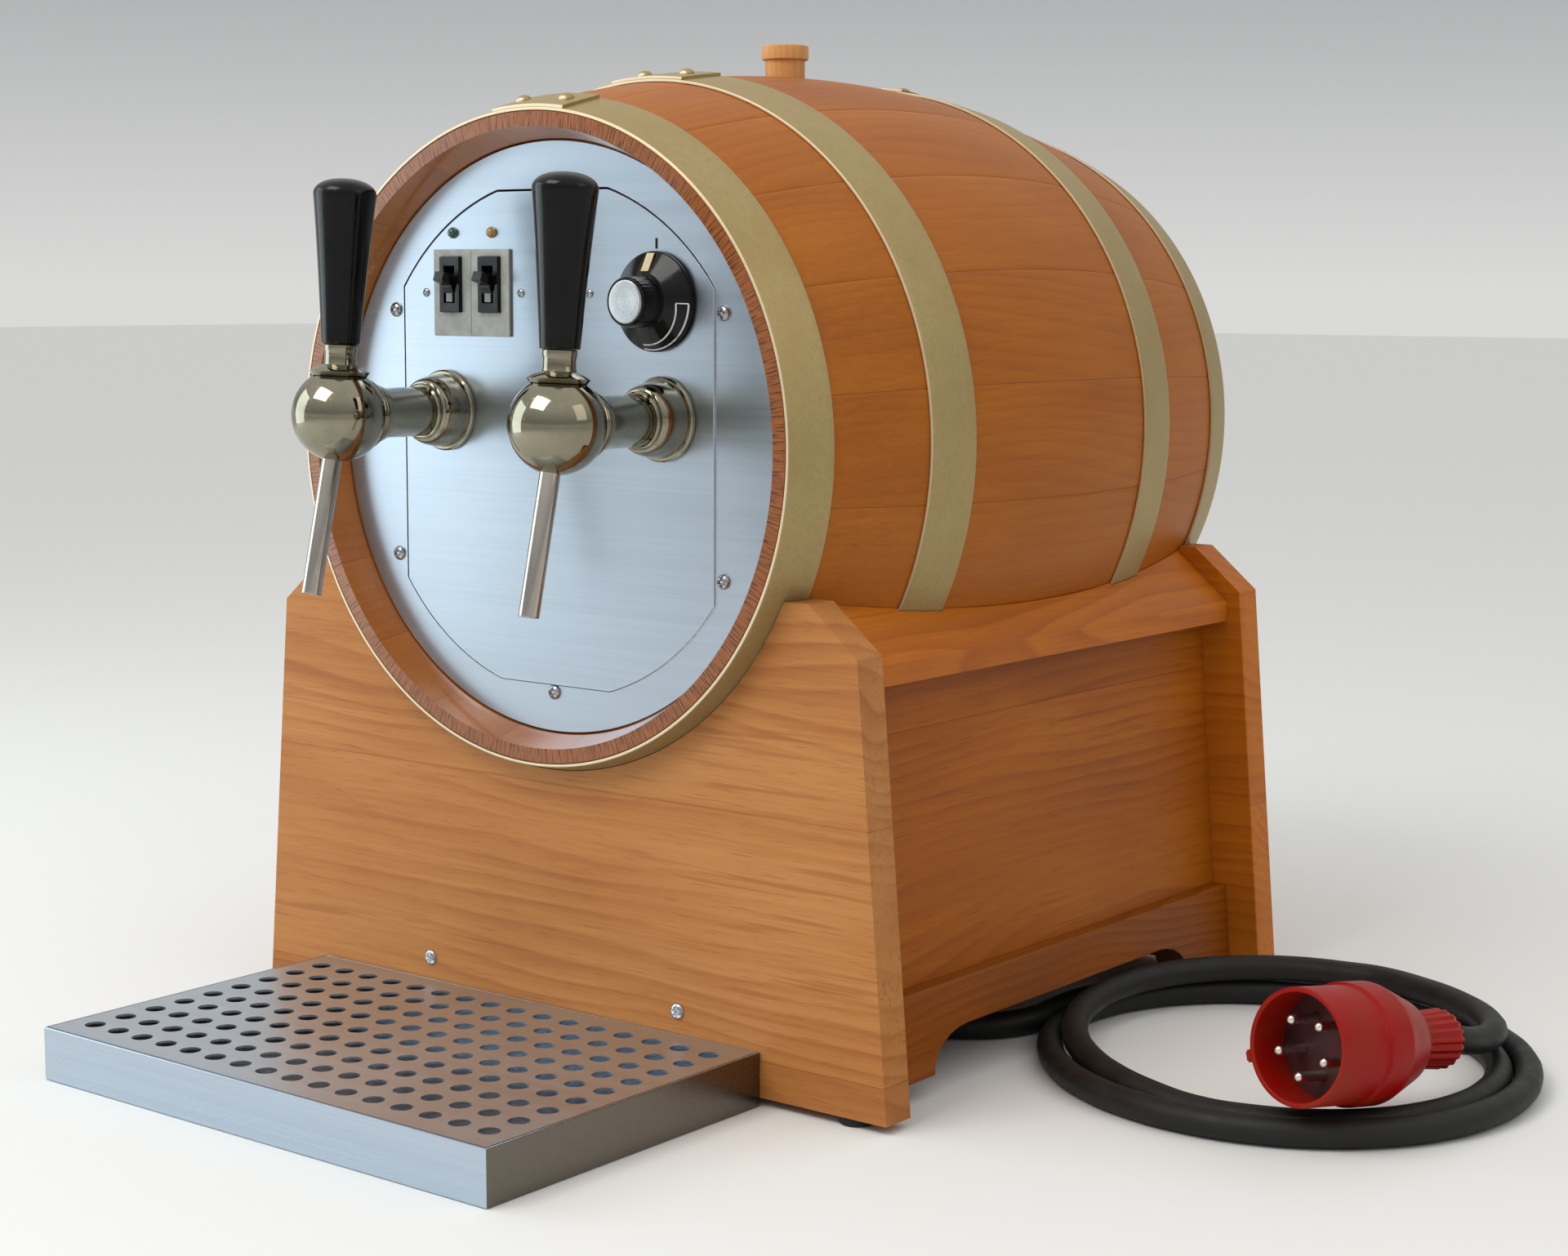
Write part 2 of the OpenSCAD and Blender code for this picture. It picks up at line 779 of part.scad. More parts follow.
module on_knob() {
    on_panel() translate([knob_x, knob_z, 0]) children();
}

module thermostat_body() {
    color("dimgray") on_knob() difference() {
        union() {
            translate([-thermostat_size / 2, -thermostat_size / 2, -panel_t - thermostat_deep])
                cube([thermostat_size, thermostat_size, thermostat_deep]);
            translate([0, 0, -panel_t]) cylinder(h = panel_t, r = bush_r);
        }
        translate([0, 0, -panel_t - thermostat_deep / 2])
            cylinder(h = thermostat_deep, r = shaft_r + run_clear);
    }
}

module thermostat_shaft() {
    low = -panel_t - thermostat_deep / 2 + move_clear;
    color("silver") on_knob() translate([0, 0, low])
        cylinder(h = knob_h - knob_cap_t - knob_bore_deep - low, r = shaft_r);
}

module thermostat_knob() {
    rim = knob_d / 2;
    hub = knob_hub_d / 2;
    color("black") on_knob() difference() {
        rotate_extrude() polygon([
            [0, knob_lift], [rim - 0.6, knob_lift], [rim, knob_lift + 0.6], [rim, knob_rim],
            [rim - 1, knob_rim + 1], [hub + 2, knob_cone_z - 1], [hub + 0.3, knob_cone_z],
            [hub, knob_h - 1], [hub - 1, knob_h], [0, knob_h]
        ]);
        translate([0, 0, knob_h - knob_cap_t]) cylinder(h = knob_cap_t + 1, r = knob_cap_r + run_clear);
        cylinder(h = knob_h - knob_cap_t - knob_bore_deep, r = shaft_r + run_clear);
    }
}

module knob_cap() {
    color("silver") on_knob() translate([0, 0, knob_h - knob_cap_t])
        cylinder(h = knob_cap_t + knob_cap_proud, r = knob_cap_r);
}

// The cream mark lies along the cone of the skirt
module knob_pointer() {
    inner = knob_hub_d / 2 + 2;
    outer = knob_d / 2 - 1;
    fall = knob_rim + 2 - knob_cone_z;
    lift = knob_cone_z - 1 + fit_clear;
    color("wheat") on_knob() rotate([90, 0, 90]) linear_extrude(pointer_w, center = true)
        polygon([
            [inner, lift], [outer, lift + fall],
            [outer, lift + fall + pointer_t], [inner, lift + pointer_t]
        ]);
}

// Taps. Each is drawn about the middle of its ball, with the shank towards the rear.
spout_seat = 16;
// Where the two passages of a valve plug meet, wider than either
elbow_r = 1.5 * port_r;

module on_ball(s) {
    place() translate([s * tap_x, panel_y - tap_reach, barrel_axis_z + tap_z]) children();
}

// Local Z along the lever, from the ball middle
module on_lever(s) {
    on_ball(s) rotate([-lever_lean, 0, 0]) children();
}

// Local Z along the spout, from the ball middle
module along_spout() {
    rotate([180 - spout_lean, 0, 0]) children();
}

// Room in the ball for the lever's stem, from closed to open
module lever_slot() {
    half_w = stem_r + move_clear;
    reach = ball_r + 2;
    closed = -lever_lean;
    opened = lever_swing - lever_lean;
    to_rear = half_w * [cos(closed), sin(closed)];
    to_front = half_w * [-cos(opened), -sin(opened)];
    rotate([90, 0, 90]) linear_extrude(2 * half_w, center = true) polygon([
        to_rear, to_rear + reach * [-sin(closed), cos(closed)],
        to_front + reach * [-sin(opened), cos(opened)], to_front
    ]);
}

neck_r = 15.6;
neck_end = 26;

module tap_body(s) {
    color("silver") difference() {
        on_ball(s) {
            sphere(ball_r);
            rotate([-90, 0, 0]) cylinder(h = neck_end, r = neck_r);
            rotate([-90, 0, 0]) cylinder(h = tap_reach + panel_t + shank_tail, r = shank_r);
        }
        on_ball(s) {
            translate([-ball_r - 1, 0, 0]) rotate([0, 90, 0])
                cylinder(h = ball_r + 1 + valve_half + run_clear, r = valve_r + run_clear);
            rotate([-90, 0, 0]) cylinder(h = ball_r + 1, r = port_r);
            translate([0, ball_r, 0]) rotate([-90, 0, 0])
                cylinder(h = tap_reach + panel_t + shank_tail, r = line_bore_r);
            along_spout() cylinder(h = ball_r + 1, r = port_r);
            along_spout() translate([0, 0, spout_seat]) cylinder(h = ball_r, r = spout_r + fit_clear);
            lever_slot();
        }
    }
}

module tap_bodies() {
    tap_body(-1);
    tap_body(1);
}

module tap_end_plugs() {
    color("silver") for (s = [-1, 1]) on_ball(s) intersection() {
        sphere(ball_r);
        translate([-ball_r, 0, 0]) rotate([0, 90, 0])
            cylinder(h = ball_r - valve_half - move_clear, r = valve_r - fit_clear / 2);
    }
}

module tap_rosettes() {
    neck = shank_r + fit_clear;
    color("silver") on_panel() tap_places() rotate_extrude() polygon(concat(
        [[neck, 0], [rosette_r - 1.5, 0], [rosette_r - 1, 2], [rosette_r - 2, 3]],
        [for (a = [-60 : 20 : 60]) [rosette_r - 5 + 5 * cos(a), rosette_len * 0.42 + 5 * sin(a)]],
        [for (a = [0 : 15 : 90]) [neck + 1.5 + 5 * (1 - sin(a)), rosette_len - 5 * cos(a)]],
        [[neck, rosette_len]]
    ));
}

module tap_lock_nuts() {
    color("silver") on_panel() tap_places() translate([0, 0, -panel_t - nut_t]) difference() {
        cylinder(h = nut_t, r = shank_r * 1.5, $fn = 6);
        translate([0, 0, -1]) cylinder(h = nut_t + 2, r = shank_r + fit_clear);
    }
}

module tap_spouts() {
    length = spout_end - spout_seat;
    color("silver") for (s = [-1, 1])
        on_ball(s) along_spout() translate([0, 0, spout_seat]) difference() {
            cylinder(h = length, r = spout_r);
            translate([0, 0, -1]) cylinder(h = length + 2, r = spout_r - spout_wall);
        }
}

stem_from = 5;
ferrule_r = 8.4;
stud_r = 4;
stud_len = 26;

module tap_lever(s) {
    in_r = ball_r + move_clear;
    out_r = in_r + skirt_t;
    stem_a = asin(stem_r / in_r);
    ferrule_a = asin(ferrule_r / out_r);
    ferrule_z = out_r * cos(ferrule_a);
    gap = handle_from - ferrule_z;
    back = ferrule_a - skirt_angle;
    color("silver") on_lever(s) rotate_extrude() polygon(concat(
        [[0, stem_from], [stem_r, stem_from]],
        [for (i = [0 : 6]) let (a = stem_a + (skirt_angle - stem_a) * i / 6) in_r * [sin(a), cos(a)]],
        [for (i = [0 : 5]) let (a = skirt_angle + back * i / 5) out_r * [sin(a), cos(a)]],
        [[ferrule_r - 0.6, ferrule_z + gap * 0.4], [handle_foot_r - 0.8, ferrule_z + gap * 0.6],
         [handle_foot_r - 0.3, handle_from], [stud_r, handle_from],
         [stud_r, handle_from + stud_len], [0, handle_from + stud_len]]
    ));
}

module tap_lever_left() {
    tap_lever(-1);
}

module tap_lever_right() {
    tap_lever(1);
}

module tap_handle(s) {
    crown = handle_head_r * 0.5;
    top = handle_from + handle_len - crown;
    color("black") on_lever(s) difference() {
        rotate_extrude() polygon(concat(
            [[0, handle_from], [handle_foot_r - 0.5, handle_from]],
            [for (i = [0 : 8]) let (k = i / 8)
                [handle_foot_r + (handle_head_r - handle_foot_r) * (0.75 * k + 0.25 * k * k),
                 handle_from + 0.5 + (top - handle_from - 0.5) * k]],
            [for (a = [15 : 15 : 90])
                [handle_head_r * pow(cos(a), 0.7), top + crown * sin(a)]]
        ));
        translate([0, 0, handle_from - 1]) cylinder(h = stud_len + 2, r = stud_r + run_clear);
    }
}

module tap_handle_left() {
    tap_handle(-1);
}

module tap_handle_right() {
    tap_handle(1);
}

// The valve plug turns with the lever: its two passages meet the shank and the spout when it is open
module valve_plug(s) {
    color("gray") difference() {
        on_ball(s) rotate([0, 90, 0]) cylinder(h = 2 * valve_half, r = valve_r, center = true);
        on_lever(s) translate([0, 0, stem_from]) cylinder(h = valve_r, r = stem_r + run_clear);
        on_ball(s) rotate([-lever_swing, 0, 0]) {
            sphere(elbow_r);
            rotate([-90, 0, 0]) cylinder(h = valve_r + 1, r = port_r);
            along_spout() cylinder(h = valve_r + 1, r = port_r);
        }
    }
}

module valve_plug_left() {
    valve_plug(-1);
}

module valve_plug_right() {
    valve_plug(1);
}

// Heater
nut_t = 8;
tank_y = panel_y + tank_from;
tank_end_y = barrel_y + barrel_len - rear_recess - head_t - tank_rear_room;
tank_len = tank_end_y - tank_y;
element_len = tank_len - element_short;
flange_hole_r = 36;
flange_r = 46;
flange_t = 8;
element_ring = 20;
element_gap = 9;
stud_out = 10;
stud_out_r = 3;
base_half_w = 48;
base_t = 2;
base_drop = panel_half_h - panel_t - 10;
base_len = tank_from + tank_len + 10;
base_tab = 26;
saddle_t = 4;
saddle_in = 40;
saddle_up = 45;
block_len = 40;
block_lead = 20;
block_half_w = 40;
inlet_body_r = 8;
inlet_flange_r = 13;
inlet_nut_t = 7;
inlet_wall = 1.5;
terminal_y = 46;
terminal_size = [60, 28, 18];
terminal_ways = 5;
terminal_bore_r = 2;
terminal_bore_deep = 12;
probe_r = 3.5;
probe_len = 60;
probe_in = 30;
capillary_r = 1.5;

// Local Z along the bath, from its front end to the rear
module on_tank() {
    place() translate([0, tank_y, barrel_axis_z]) rotate([-90, 0, 0]) children();
}

module line_places() {
    for (s = [-1, 1]) translate([s * tap_x, -tap_z, 0]) children();
}

module heater_tank() {
    color("lightsteelblue") on_tank() difference() {
        cylinder(h = tank_len, r = tank_r);
        translate([0, 0, tank_wall]) cylinder(h = tank_len - 2 * tank_wall, r = tank_r - tank_wall);
        translate([0, 0, tank_len - 2 * tank_wall]) cylinder(h = 3 * tank_wall, r = flange_hole_r);
        line_places() translate([0, 0, -1]) cylinder(h = tank_len + 2, r = line_r + fit_clear);
    }
}

module heater_flange() {
    color("silver") on_tank() translate([0, 0, tank_len]) {
        cylinder(h = flange_t, r = flange_r);
        for (i = [0 : 2]) rotate([0, 0, 120 * i]) translate([element_ring, 0, flange_t])
            cylinder(h = stud_out, r = stud_out_r);
    }
}

// Three bent rods that start at the flange
module heating_elements() {
    color("dimgray") on_tank() translate([0, 0, tank_len - element_len]) for (i = [0 : 2])
        rotate([0, 0, 120 * i]) translate([element_ring, 0, 0]) {
            for (s = [-1, 1]) translate([0, s * element_gap, 0]) cylinder(h = element_len, r = element_r);
            rotate([0, -90, 0]) rotate([0, 0, 90]) rotate_extrude(angle = 180)
                translate([element_gap, 0]) circle(element_r);
        }
}

module wine_lines() {
    from = panel_y + panel_t + shank_tail;
    to = inlet_end_y - inlet_len - inlet_flange_t - head_t - inlet_nut_t;
    color("silver") place() for (s = [-1, 1])
        translate([s * tap_x, from, barrel_axis_z + tap_z]) rotate([-90, 0, 0]) difference() {
            cylinder(h = to - from, r = line_r);
            translate([0, 0, -1]) cylinder(h = to - from + 2, r = line_bore_r);
        }
}

module inlet_couplings() {
    color("silver") on_barrel() line_places() translate([0, 0, barrel_len - rear_recess]) difference() {
        union() {
            cylinder(h = inlet_flange_t, r = inlet_flange_r);
            translate([0, 0, inlet_flange_t]) cylinder(h = inlet_len, r = inlet_r);
            translate([0, 0, -head_t]) cylinder(h = head_t, r = inlet_body_r);
            translate([0, 0, -head_t - inlet_nut_t])
                cylinder(h = inlet_nut_t, r = inlet_flange_r, $fn = 6);
        }
        translate([0, 0, -head_t - inlet_nut_t - 1])
            cylinder(h = head_t + inlet_nut_t + inlet_flange_t + inlet_len + 2, r = inlet_r - inlet_wall);
    }
}

// Bent base with a tab on the panel and two saddles under the bath
module chassis() {
    base_z = barrel_axis_z - base_drop;
    back_y = panel_y + panel_t;
    color("silver") difference() {
        place() {
            translate([-base_half_w, back_y, base_z]) cube([2 * base_half_w, base_len, base_t]);
            translate([-base_half_w, back_y, base_z]) cube([2 * base_half_w, base_t, base_tab]);
            for (y = [tank_y + saddle_in, tank_end_y - saddle_in - saddle_t])
                translate([-base_half_w, y, base_z]) cube([2 * base_half_w, saddle_t, saddle_up]);
        }
        on_tank() translate([0, 0, -1]) cylinder(h = tank_len + 2, r = tank_r + fit_clear);
    }
}

// Blocks between the base and the inside of the staves
module chassis_blocks() {
    base_z = barrel_axis_z - base_drop;
    color("burlywood") intersection() {
        place() for (y = [tank_y - block_lead, tank_end_y - block_len])
            translate([-block_half_w, y, barrel_axis_z - barrel_bilge_r])
                cube([2 * block_half_w, block_len, base_z - barrel_axis_z + barrel_bilge_r]);
        on_barrel() rotate_extrude() polygon(concat(
            [[0, 0]],
            [for (t = [0 : barrel_len / stave_steps : barrel_len]) [inner_r(t) - seat_clear, t]],
            [[0, barrel_len]]
        ));
    }
}

// Terminals of the mains lead, on the base in front of the bath
module terminal_block() {
    step = terminal_size[0] / terminal_ways;
    at = [-terminal_size[0] / 2, panel_y + terminal_y, barrel_axis_z - base_drop + base_t];
    color("ivory") place() translate(at) difference() {
        cube(terminal_size);
        for (i = [0 : terminal_ways - 1], k = [0.25, 0.75])
            translate([(i + 0.5) * step, k * terminal_size[1], terminal_size[2] - terminal_bore_deep])
                cylinder(h = terminal_bore_deep + 1, r = terminal_bore_r);
    }
}

// Bulb on the bath, with its capillary from the thermostat
module thermostat_probe() {
    at = (tank_r + probe_r + fit_clear) * unit([knob_x, knob_z]);
    from_y = panel_y + panel_t + thermostat_deep;
    bulb_y = tank_y + probe_in;
    color("sandybrown") place() translate([at[0], 0, barrel_axis_z + at[1]]) rotate([-90, 0, 0]) {
        translate([0, 0, from_y]) cylinder(h = bulb_y - from_y, r = capillary_r);
        translate([0, 0, bulb_y]) cylinder(h = probe_len, r = probe_r);
    }
}

// Drip tray
grid_w = tray_w - 2 * tray_sheet - 2 * grid_gap;
grid_d = tray_d - 2 * tray_sheet - 2 * grid_gap;

module on_tray() {
    place() translate([tray_x, -tray_gap - tray_d / 2, 0]) children();
}

module slab(w, d, z0, z1) {
    translate([-w / 2, -d / 2, z0]) cube([w, d, z1 - z0]);
}

module tray_pan() {
    ledge_z = tray_h - 2 * tray_sheet - move_clear;
    in_w = tray_w - 2 * tray_sheet;
    in_d = tray_d - 2 * tray_sheet;
    color("lightgray") on_tray() difference() {
        slab(tray_w, tray_d, 0, tray_h);
        slab(in_w, in_d, tray_h - tray_sheet - move_clear, tray_h + 1);
        slab(in_w, in_d, tray_sheet, ledge_z);
        slab(in_w - 2 * tray_ledge, in_d - 2 * tray_ledge, ledge_z - 1, tray_h);
    }
}

module tray_grid() {
    cols = floor((grid_w - 2 * grid_border - grid_hole_d) / grid_pitch);
    rows = floor((grid_d - 2 * grid_border - grid_hole_d) / grid_row_pitch);
    top_z = tray_h - tray_sheet;
    color("silver") on_tray() translate([0, 0, top_z]) linear_extrude(tray_sheet) difference() {
        square([grid_w, grid_d], center = true);
        for (i = [0 : cols], j = [0 : rows])
            translate([(i - cols / 2) * grid_pitch, (j - rows / 2) * grid_row_pitch]) circle(grid_hole_d / 2);
    }
}

// Mains lead: gland, free stretch, coil, tail and plug
gland_y = 146;
gland_r = 10;
gland_flange_r = 15;
gland_flange_t = 6;
gland_cap_len = 26;
gland_top_z = barrel_axis_z - wood_r(gland_y - barrel_y + gland_flange_r);
gland_end_z = gland_top_z - gland_flange_t - gland_cap_len;
cord_r = cord_d / 2;
layer_h = cord_d + 0.7;
coil_pitch = cord_d + 0.8;
coil_mid = [306, 219];
coil_half = [130, 142];
coil_turned = 42;
coil_start = 143;
climb_from = 1.75;
coil_turns = 2.25;
loop_rings = 24;

// The coil winds inwards on the floor, and in its last half turn climbs onto the loop outside it
function coil_rise(n) = max(0, n - climb_from) * 180;
function coil_shrink(n) = coil_pitch * (n - 1 + cos(coil_rise(n)));
function coil_point(n) =
    let (a = coil_start - 360 * n,
         u = (coil_half[0] - coil_shrink(n)) * cos(a),
         v = (coil_half[1] - coil_shrink(n)) * sin(a))
    [coil_mid[0] + u * cos(coil_turned) - v * sin(coil_turned),
     coil_mid[1] + u * sin(coil_turned) + v * cos(coil_turned),
     cord_r + layer_h * sin(coil_rise(n))];
function unit(v) = v / norm(v);
function level(v) = unit([v[0], v[1], 0]);

coil_in = level(coil_point(0.01) - coil_point(0));
coil_out = level(coil_point(coil_turns) - coil_point(coil_turns - 0.01));
coil_path = concat(
    [coil_point(0) - cord_d * coil_in],
    [for (i = [0 : coil_turns * loop_rings]) coil_point(i / loop_rings)],
    [coil_point(coil_turns) + cord_d * coil_out]
);
coil_last = len(coil_path) - 1;
half_loop = loop_rings / 2;
coil_apart = [
    for (i = [0 : coil_last - half_loop], j = [i + half_loop : coil_last])
        norm(coil_path[i] - coil_path[j])
];
echo(least_gap_in_coil = min(coil_apart) - cord_d);

lead_route = [
    [0, 146, 82], [6, 146, 53], [22, 146, 29], [46, 146, 13], [75, 146, 7], [97, 146, 7], [118, 147.5, 7],
    [138, 153.5, 7], [154.5, 163.5, 7], [167, 178, 7]
];
lead_path = concat([[0, gland_y, gland_end_z]], lead_route, [coil_path[0]]);

plug_face = [376, 102, 49];
plug_dip = 8;
plug_heading = 78;
plug_axis = [cos(plug_dip) * cos(plug_heading), cos(plug_dip) * sin(plug_heading), -sin(plug_dip)];
boot_end = plug_face + plug_len * plug_axis;
tail_route = [
    [336.3, 329, 22], [364.2, 314.2, 22], [387.7, 292.6, 22], [400.4, 268.5, 23.3], [403.1, 240.8, 26.2]
];
tail_path = concat([coil_path[coil_last]], tail_route, [boot_end]);

// A tube along a path. The first and last rings are square to the ends given.
module tube(path, r, sides, from_dir, to_dir, about) {
    last = len(path) - 1;
    function along(i) =
        i == 0 ? from_dir
        : i == last ? to_dir
        : unit(unit(path[i + 1] - path[i]) + unit(path[i] - path[i - 1]));
    function ring(i) =
        let (d = along(i), side = unit(cross(d, about)), up = cross(side, d))
        [for (k = [0 : sides - 1]) let (a = 360 * k / sides) path[i] + r * (cos(a) * up + sin(a) * side)];
    points = concat([for (i = [0 : last]) each ring(i)], [path[0], path[last]]);
    first_mid = len(points) - 2;
    polyhedron(points, concat(
        [for (i = [0 : last - 1], k = [0 : sides - 1])
            let (a = i * sides + k, b = i * sides + (k + 1) % sides)
            each [[a, b, b + sides], [a, b + sides, a + sides]]],
        [for (k = [0 : sides - 1]) [first_mid, (k + 1) % sides, k]],
        [for (k = [0 : sides - 1]) [first_mid + 1, last * sides + k, last * sides + (k + 1) % sides]]
    ));
}

module cord_gland() {
    color("black") place() translate([0, gland_y, gland_end_z]) difference() {
        union() {
            cylinder(h = gland_cap_len, r1 = gland_r - 1.5, r2 = gland_r + 2);
            translate([0, 0, gland_cap_len]) cylinder(h = gland_flange_t, r = gland_flange_r, $fn = 6);
            translate([0, 0, gland_cap_len]) cylinder(h = gland_flange_t + stave_t + 6, r = gland_r);
        }
        translate([0, 0, gland_cap_len / 2])
            cylinder(h = gland_flange_t + gland_cap_len + stave_t, r = cord_r);
    }
}

module cord_lead() {
    color("black") place() tube(lead_path, cord_r, 8, [0, 0, -1], coil_in, unit([1, -1, 1]));
}

module cord_coil() {
    color("black") place() tube(coil_path, cord_r, 6, coil_in, coil_out, [0, 0, 1]);
}

module cord_tail() {
    color("black") place() tube(tail_path, cord_r, 8, coil_out, -plug_axis, [0, 0, 1]);
}

// Plug: shroud, grip and ribbed boot in one moulding, an insert in the shroud, and five pins
plug_wall = 2.5;
collar_rise = 1.5;
collar_len = 16;
grip_r = 21;
boot_r = 15;
boot_len = 34;
boot_ribs = 5;
rib_deep = 1.5;
insert_t = 12;
pin_ring = 14;
pin_r = 2.5;
pin_len = 32;
key_w = 6;
key_h = 3;
key_angle = 90;

module on_plug() {
    place() translate(plug_face) rotate([0, 90 + plug_dip, plug_heading]) children();
}

module pin_places() {
    for (i = [0 : 4]) rotate([0, 0, 72 * i]) translate([pin_ring, 0, shroud_deep - pin_len]) children();
}

module plug_body() {
    collar_r = plug_r + collar_rise;
    boot_z = plug_len - boot_len;
    rib = boot_len / (boot_ribs + 1);
    color("crimson") on_plug() {
        difference() {
            rotate_extrude() polygon(concat(
                [[0, 0], [plug_r, 0], [plug_r, shroud_deep - collar_rise], [collar_r, shroud_deep],
                 [collar_r, shroud_deep + collar_len], [grip_r, boot_z - rib], [boot_r, boot_z]],
                [for (i = [0 : boot_ribs - 1]) each [
                    [boot_r, boot_z + (i + 0.55) * rib], [boot_r - rib_deep, boot_z + (i + 0.65) * rib],
                    [boot_r - rib_deep, boot_z + (i + 0.9) * rib], [boot_r, boot_z + (i + 1) * rib]
                ]],
                [[cord_r + 3, plug_len], [0, plug_len]]
            ));
            translate([0, 0, -1]) cylinder(h = shroud_deep + 1, r = plug_r - plug_wall);
        }
        rotate([0, 0, key_angle]) translate([plug_r - plug_wall / 2, -key_w / 2, 0])
            cube([plug_wall / 2 + key_h, key_w, shroud_deep]);
    }
}

module plug_insert() {
    color("maroon") on_plug() difference() {
        translate([0, 0, shroud_deep - insert_t])
            cylinder(h = insert_t, r = plug_r - plug_wall - fit_clear);
        pin_places() cylinder(h = pin_len + 1, r = pin_r + fit_clear);
    }
}

module plug_pins() {
    color("silver") on_plug() pin_places() {
        dome_from = pin_r;
        translate([0, 0, dome_from]) cylinder(h = pin_len - dome_from, r = pin_r);
        translate([0, 0, dome_from]) rotate([180, 0, 0]) dome(pin_r, pin_r);
    }
}

front_board();
rear_board();
side_panel_left();
side_panel_right();
top_rails();
bottom_rail_left();
bottom_rail_right();
rubber_feet();
board_screws();
barrel_staves();
chime_hoops();
quarter_hoops();
hoop_rivets();
bung();
front_head();
rear_head();
front_plate();
plate_screws();
control_panel();
panel_screws();
switch_frame();
switch_bodies();
toggle_left();
toggle_right();
lamp_green();
lamp_amber();
thermostat_body();
thermostat_shaft();
thermostat_knob();
knob_cap();
knob_pointer();
tap_bodies();
tap_rosettes();
tap_lock_nuts();
tap_end_plugs();
tap_spouts();
tap_lever_left();
tap_lever_right();
tap_handle_left();
tap_handle_right();
valve_plug_left();
valve_plug_right();
heater_tank();
heater_flange();
heating_elements();
wine_lines();
inlet_couplings();
chassis();
chassis_blocks();
terminal_block();
thermostat_probe();
tray_pan();
tray_grid();
cord_gland();
cord_lead();
cord_coil();
cord_tail();
plug_body();
plug_insert();
plug_pins();
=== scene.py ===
import json
import math

import bmesh
import bpy
from mathutils import Matrix, Vector


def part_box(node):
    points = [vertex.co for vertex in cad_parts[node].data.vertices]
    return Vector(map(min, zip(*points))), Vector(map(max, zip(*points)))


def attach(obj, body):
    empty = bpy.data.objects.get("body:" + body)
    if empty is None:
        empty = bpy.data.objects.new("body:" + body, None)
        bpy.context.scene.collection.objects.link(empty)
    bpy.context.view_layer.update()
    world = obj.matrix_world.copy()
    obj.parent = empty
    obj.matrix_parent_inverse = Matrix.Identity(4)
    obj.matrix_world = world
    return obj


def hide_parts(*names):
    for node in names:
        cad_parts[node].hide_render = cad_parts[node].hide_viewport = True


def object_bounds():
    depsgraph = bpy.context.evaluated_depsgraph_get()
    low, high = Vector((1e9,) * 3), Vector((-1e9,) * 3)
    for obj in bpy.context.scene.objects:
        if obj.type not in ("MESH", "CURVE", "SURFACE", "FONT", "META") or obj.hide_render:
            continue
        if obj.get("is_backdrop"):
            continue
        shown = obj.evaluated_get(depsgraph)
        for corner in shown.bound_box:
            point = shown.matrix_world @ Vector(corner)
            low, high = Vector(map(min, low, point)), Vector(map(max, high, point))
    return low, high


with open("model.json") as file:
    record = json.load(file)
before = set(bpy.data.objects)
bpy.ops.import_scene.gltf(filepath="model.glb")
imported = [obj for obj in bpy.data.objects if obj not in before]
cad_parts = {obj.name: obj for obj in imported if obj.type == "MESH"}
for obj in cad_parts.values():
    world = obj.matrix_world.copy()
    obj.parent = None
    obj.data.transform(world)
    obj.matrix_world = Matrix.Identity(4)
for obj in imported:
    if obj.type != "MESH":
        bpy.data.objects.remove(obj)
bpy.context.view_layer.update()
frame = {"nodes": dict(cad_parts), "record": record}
nodes = frame["nodes"]
slotOf = {row["node"]: row["material_slot"] for row in frame["record"]["subparts"]}
bodyOf = {node: body for body, members in frame["record"]["behaviour"]["bodies"].items() for node in members}
scene = bpy.context.scene
scene.view_settings.view_transform = "Standard"
print("frame loaded with", len(nodes), "nodes")


class Sizes(dict):
    # a dictionary whose entries also read as attributes
    __getattr__ = dict.__getitem__


def linked(name, data):
    item = bpy.data.objects.new(name, data)
    scene.collection.objects.link(item)
    return item


def middleOf(node):
    low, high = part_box(node)
    return (low + high) / 2


# camera at the photograph's viewing angle
cameraView = Sizes(
    place=(0.93555, -1.108885, 0.3978), azimuth=38.06, elevation=7.24, roll=0.2, lens=61.81, sensor=36.0, sight=60,
)


def makeCamera():
    s = cameraView
    azimuth, elevation, roll = [math.radians(turn) for turn in (s.azimuth, s.elevation, s.roll)]
    level = math.cos(elevation)
    back = Vector((math.sin(azimuth) * level, -math.cos(azimuth) * level, math.sin(elevation)))
    side = Vector((math.cos(azimuth), math.sin(azimuth), 0))
    up = back.cross(side)
    rolledSide = side * math.cos(roll) + up * math.sin(roll)
    rolledUp = up * math.cos(roll) - side * math.sin(roll)
    data = bpy.data.cameras.new("photoCamera")
    data.sensor_fit, data.sensor_width, data.lens, data.clip_end = "HORIZONTAL", s.sensor, s.lens, s.sight
    scene.camera = linked("photoCamera", data)
    turn = Matrix((rolledSide, rolledUp, back)).transposed()
    scene.camera.matrix_world = Matrix.Translation(s.place) @ turn.to_4x4()


makeCamera()
print("camera placed")

# node helpers


def feed(tree, socket, value):
    if isinstance(value, Flow):
        tree.links.new(value.socket, socket)
    else:
        socket.default_value = (*value, 1) if socket.type == "RGBA" else value


def fill(tree, sockets, values):
    for key, value in values.items():
        feed(tree, sockets[key], value)


def put(tree, kind, inputs=(), **settings):
    # a new node, with its inputs by name or in their order
    node = tree.nodes.new(kind)
    for key, value in settings.items():
        setattr(node, key, value)
    fill(tree, node.inputs, inputs if isinstance(inputs, dict) else dict(enumerate(inputs)))
    return Flow(tree, node.outputs[0])


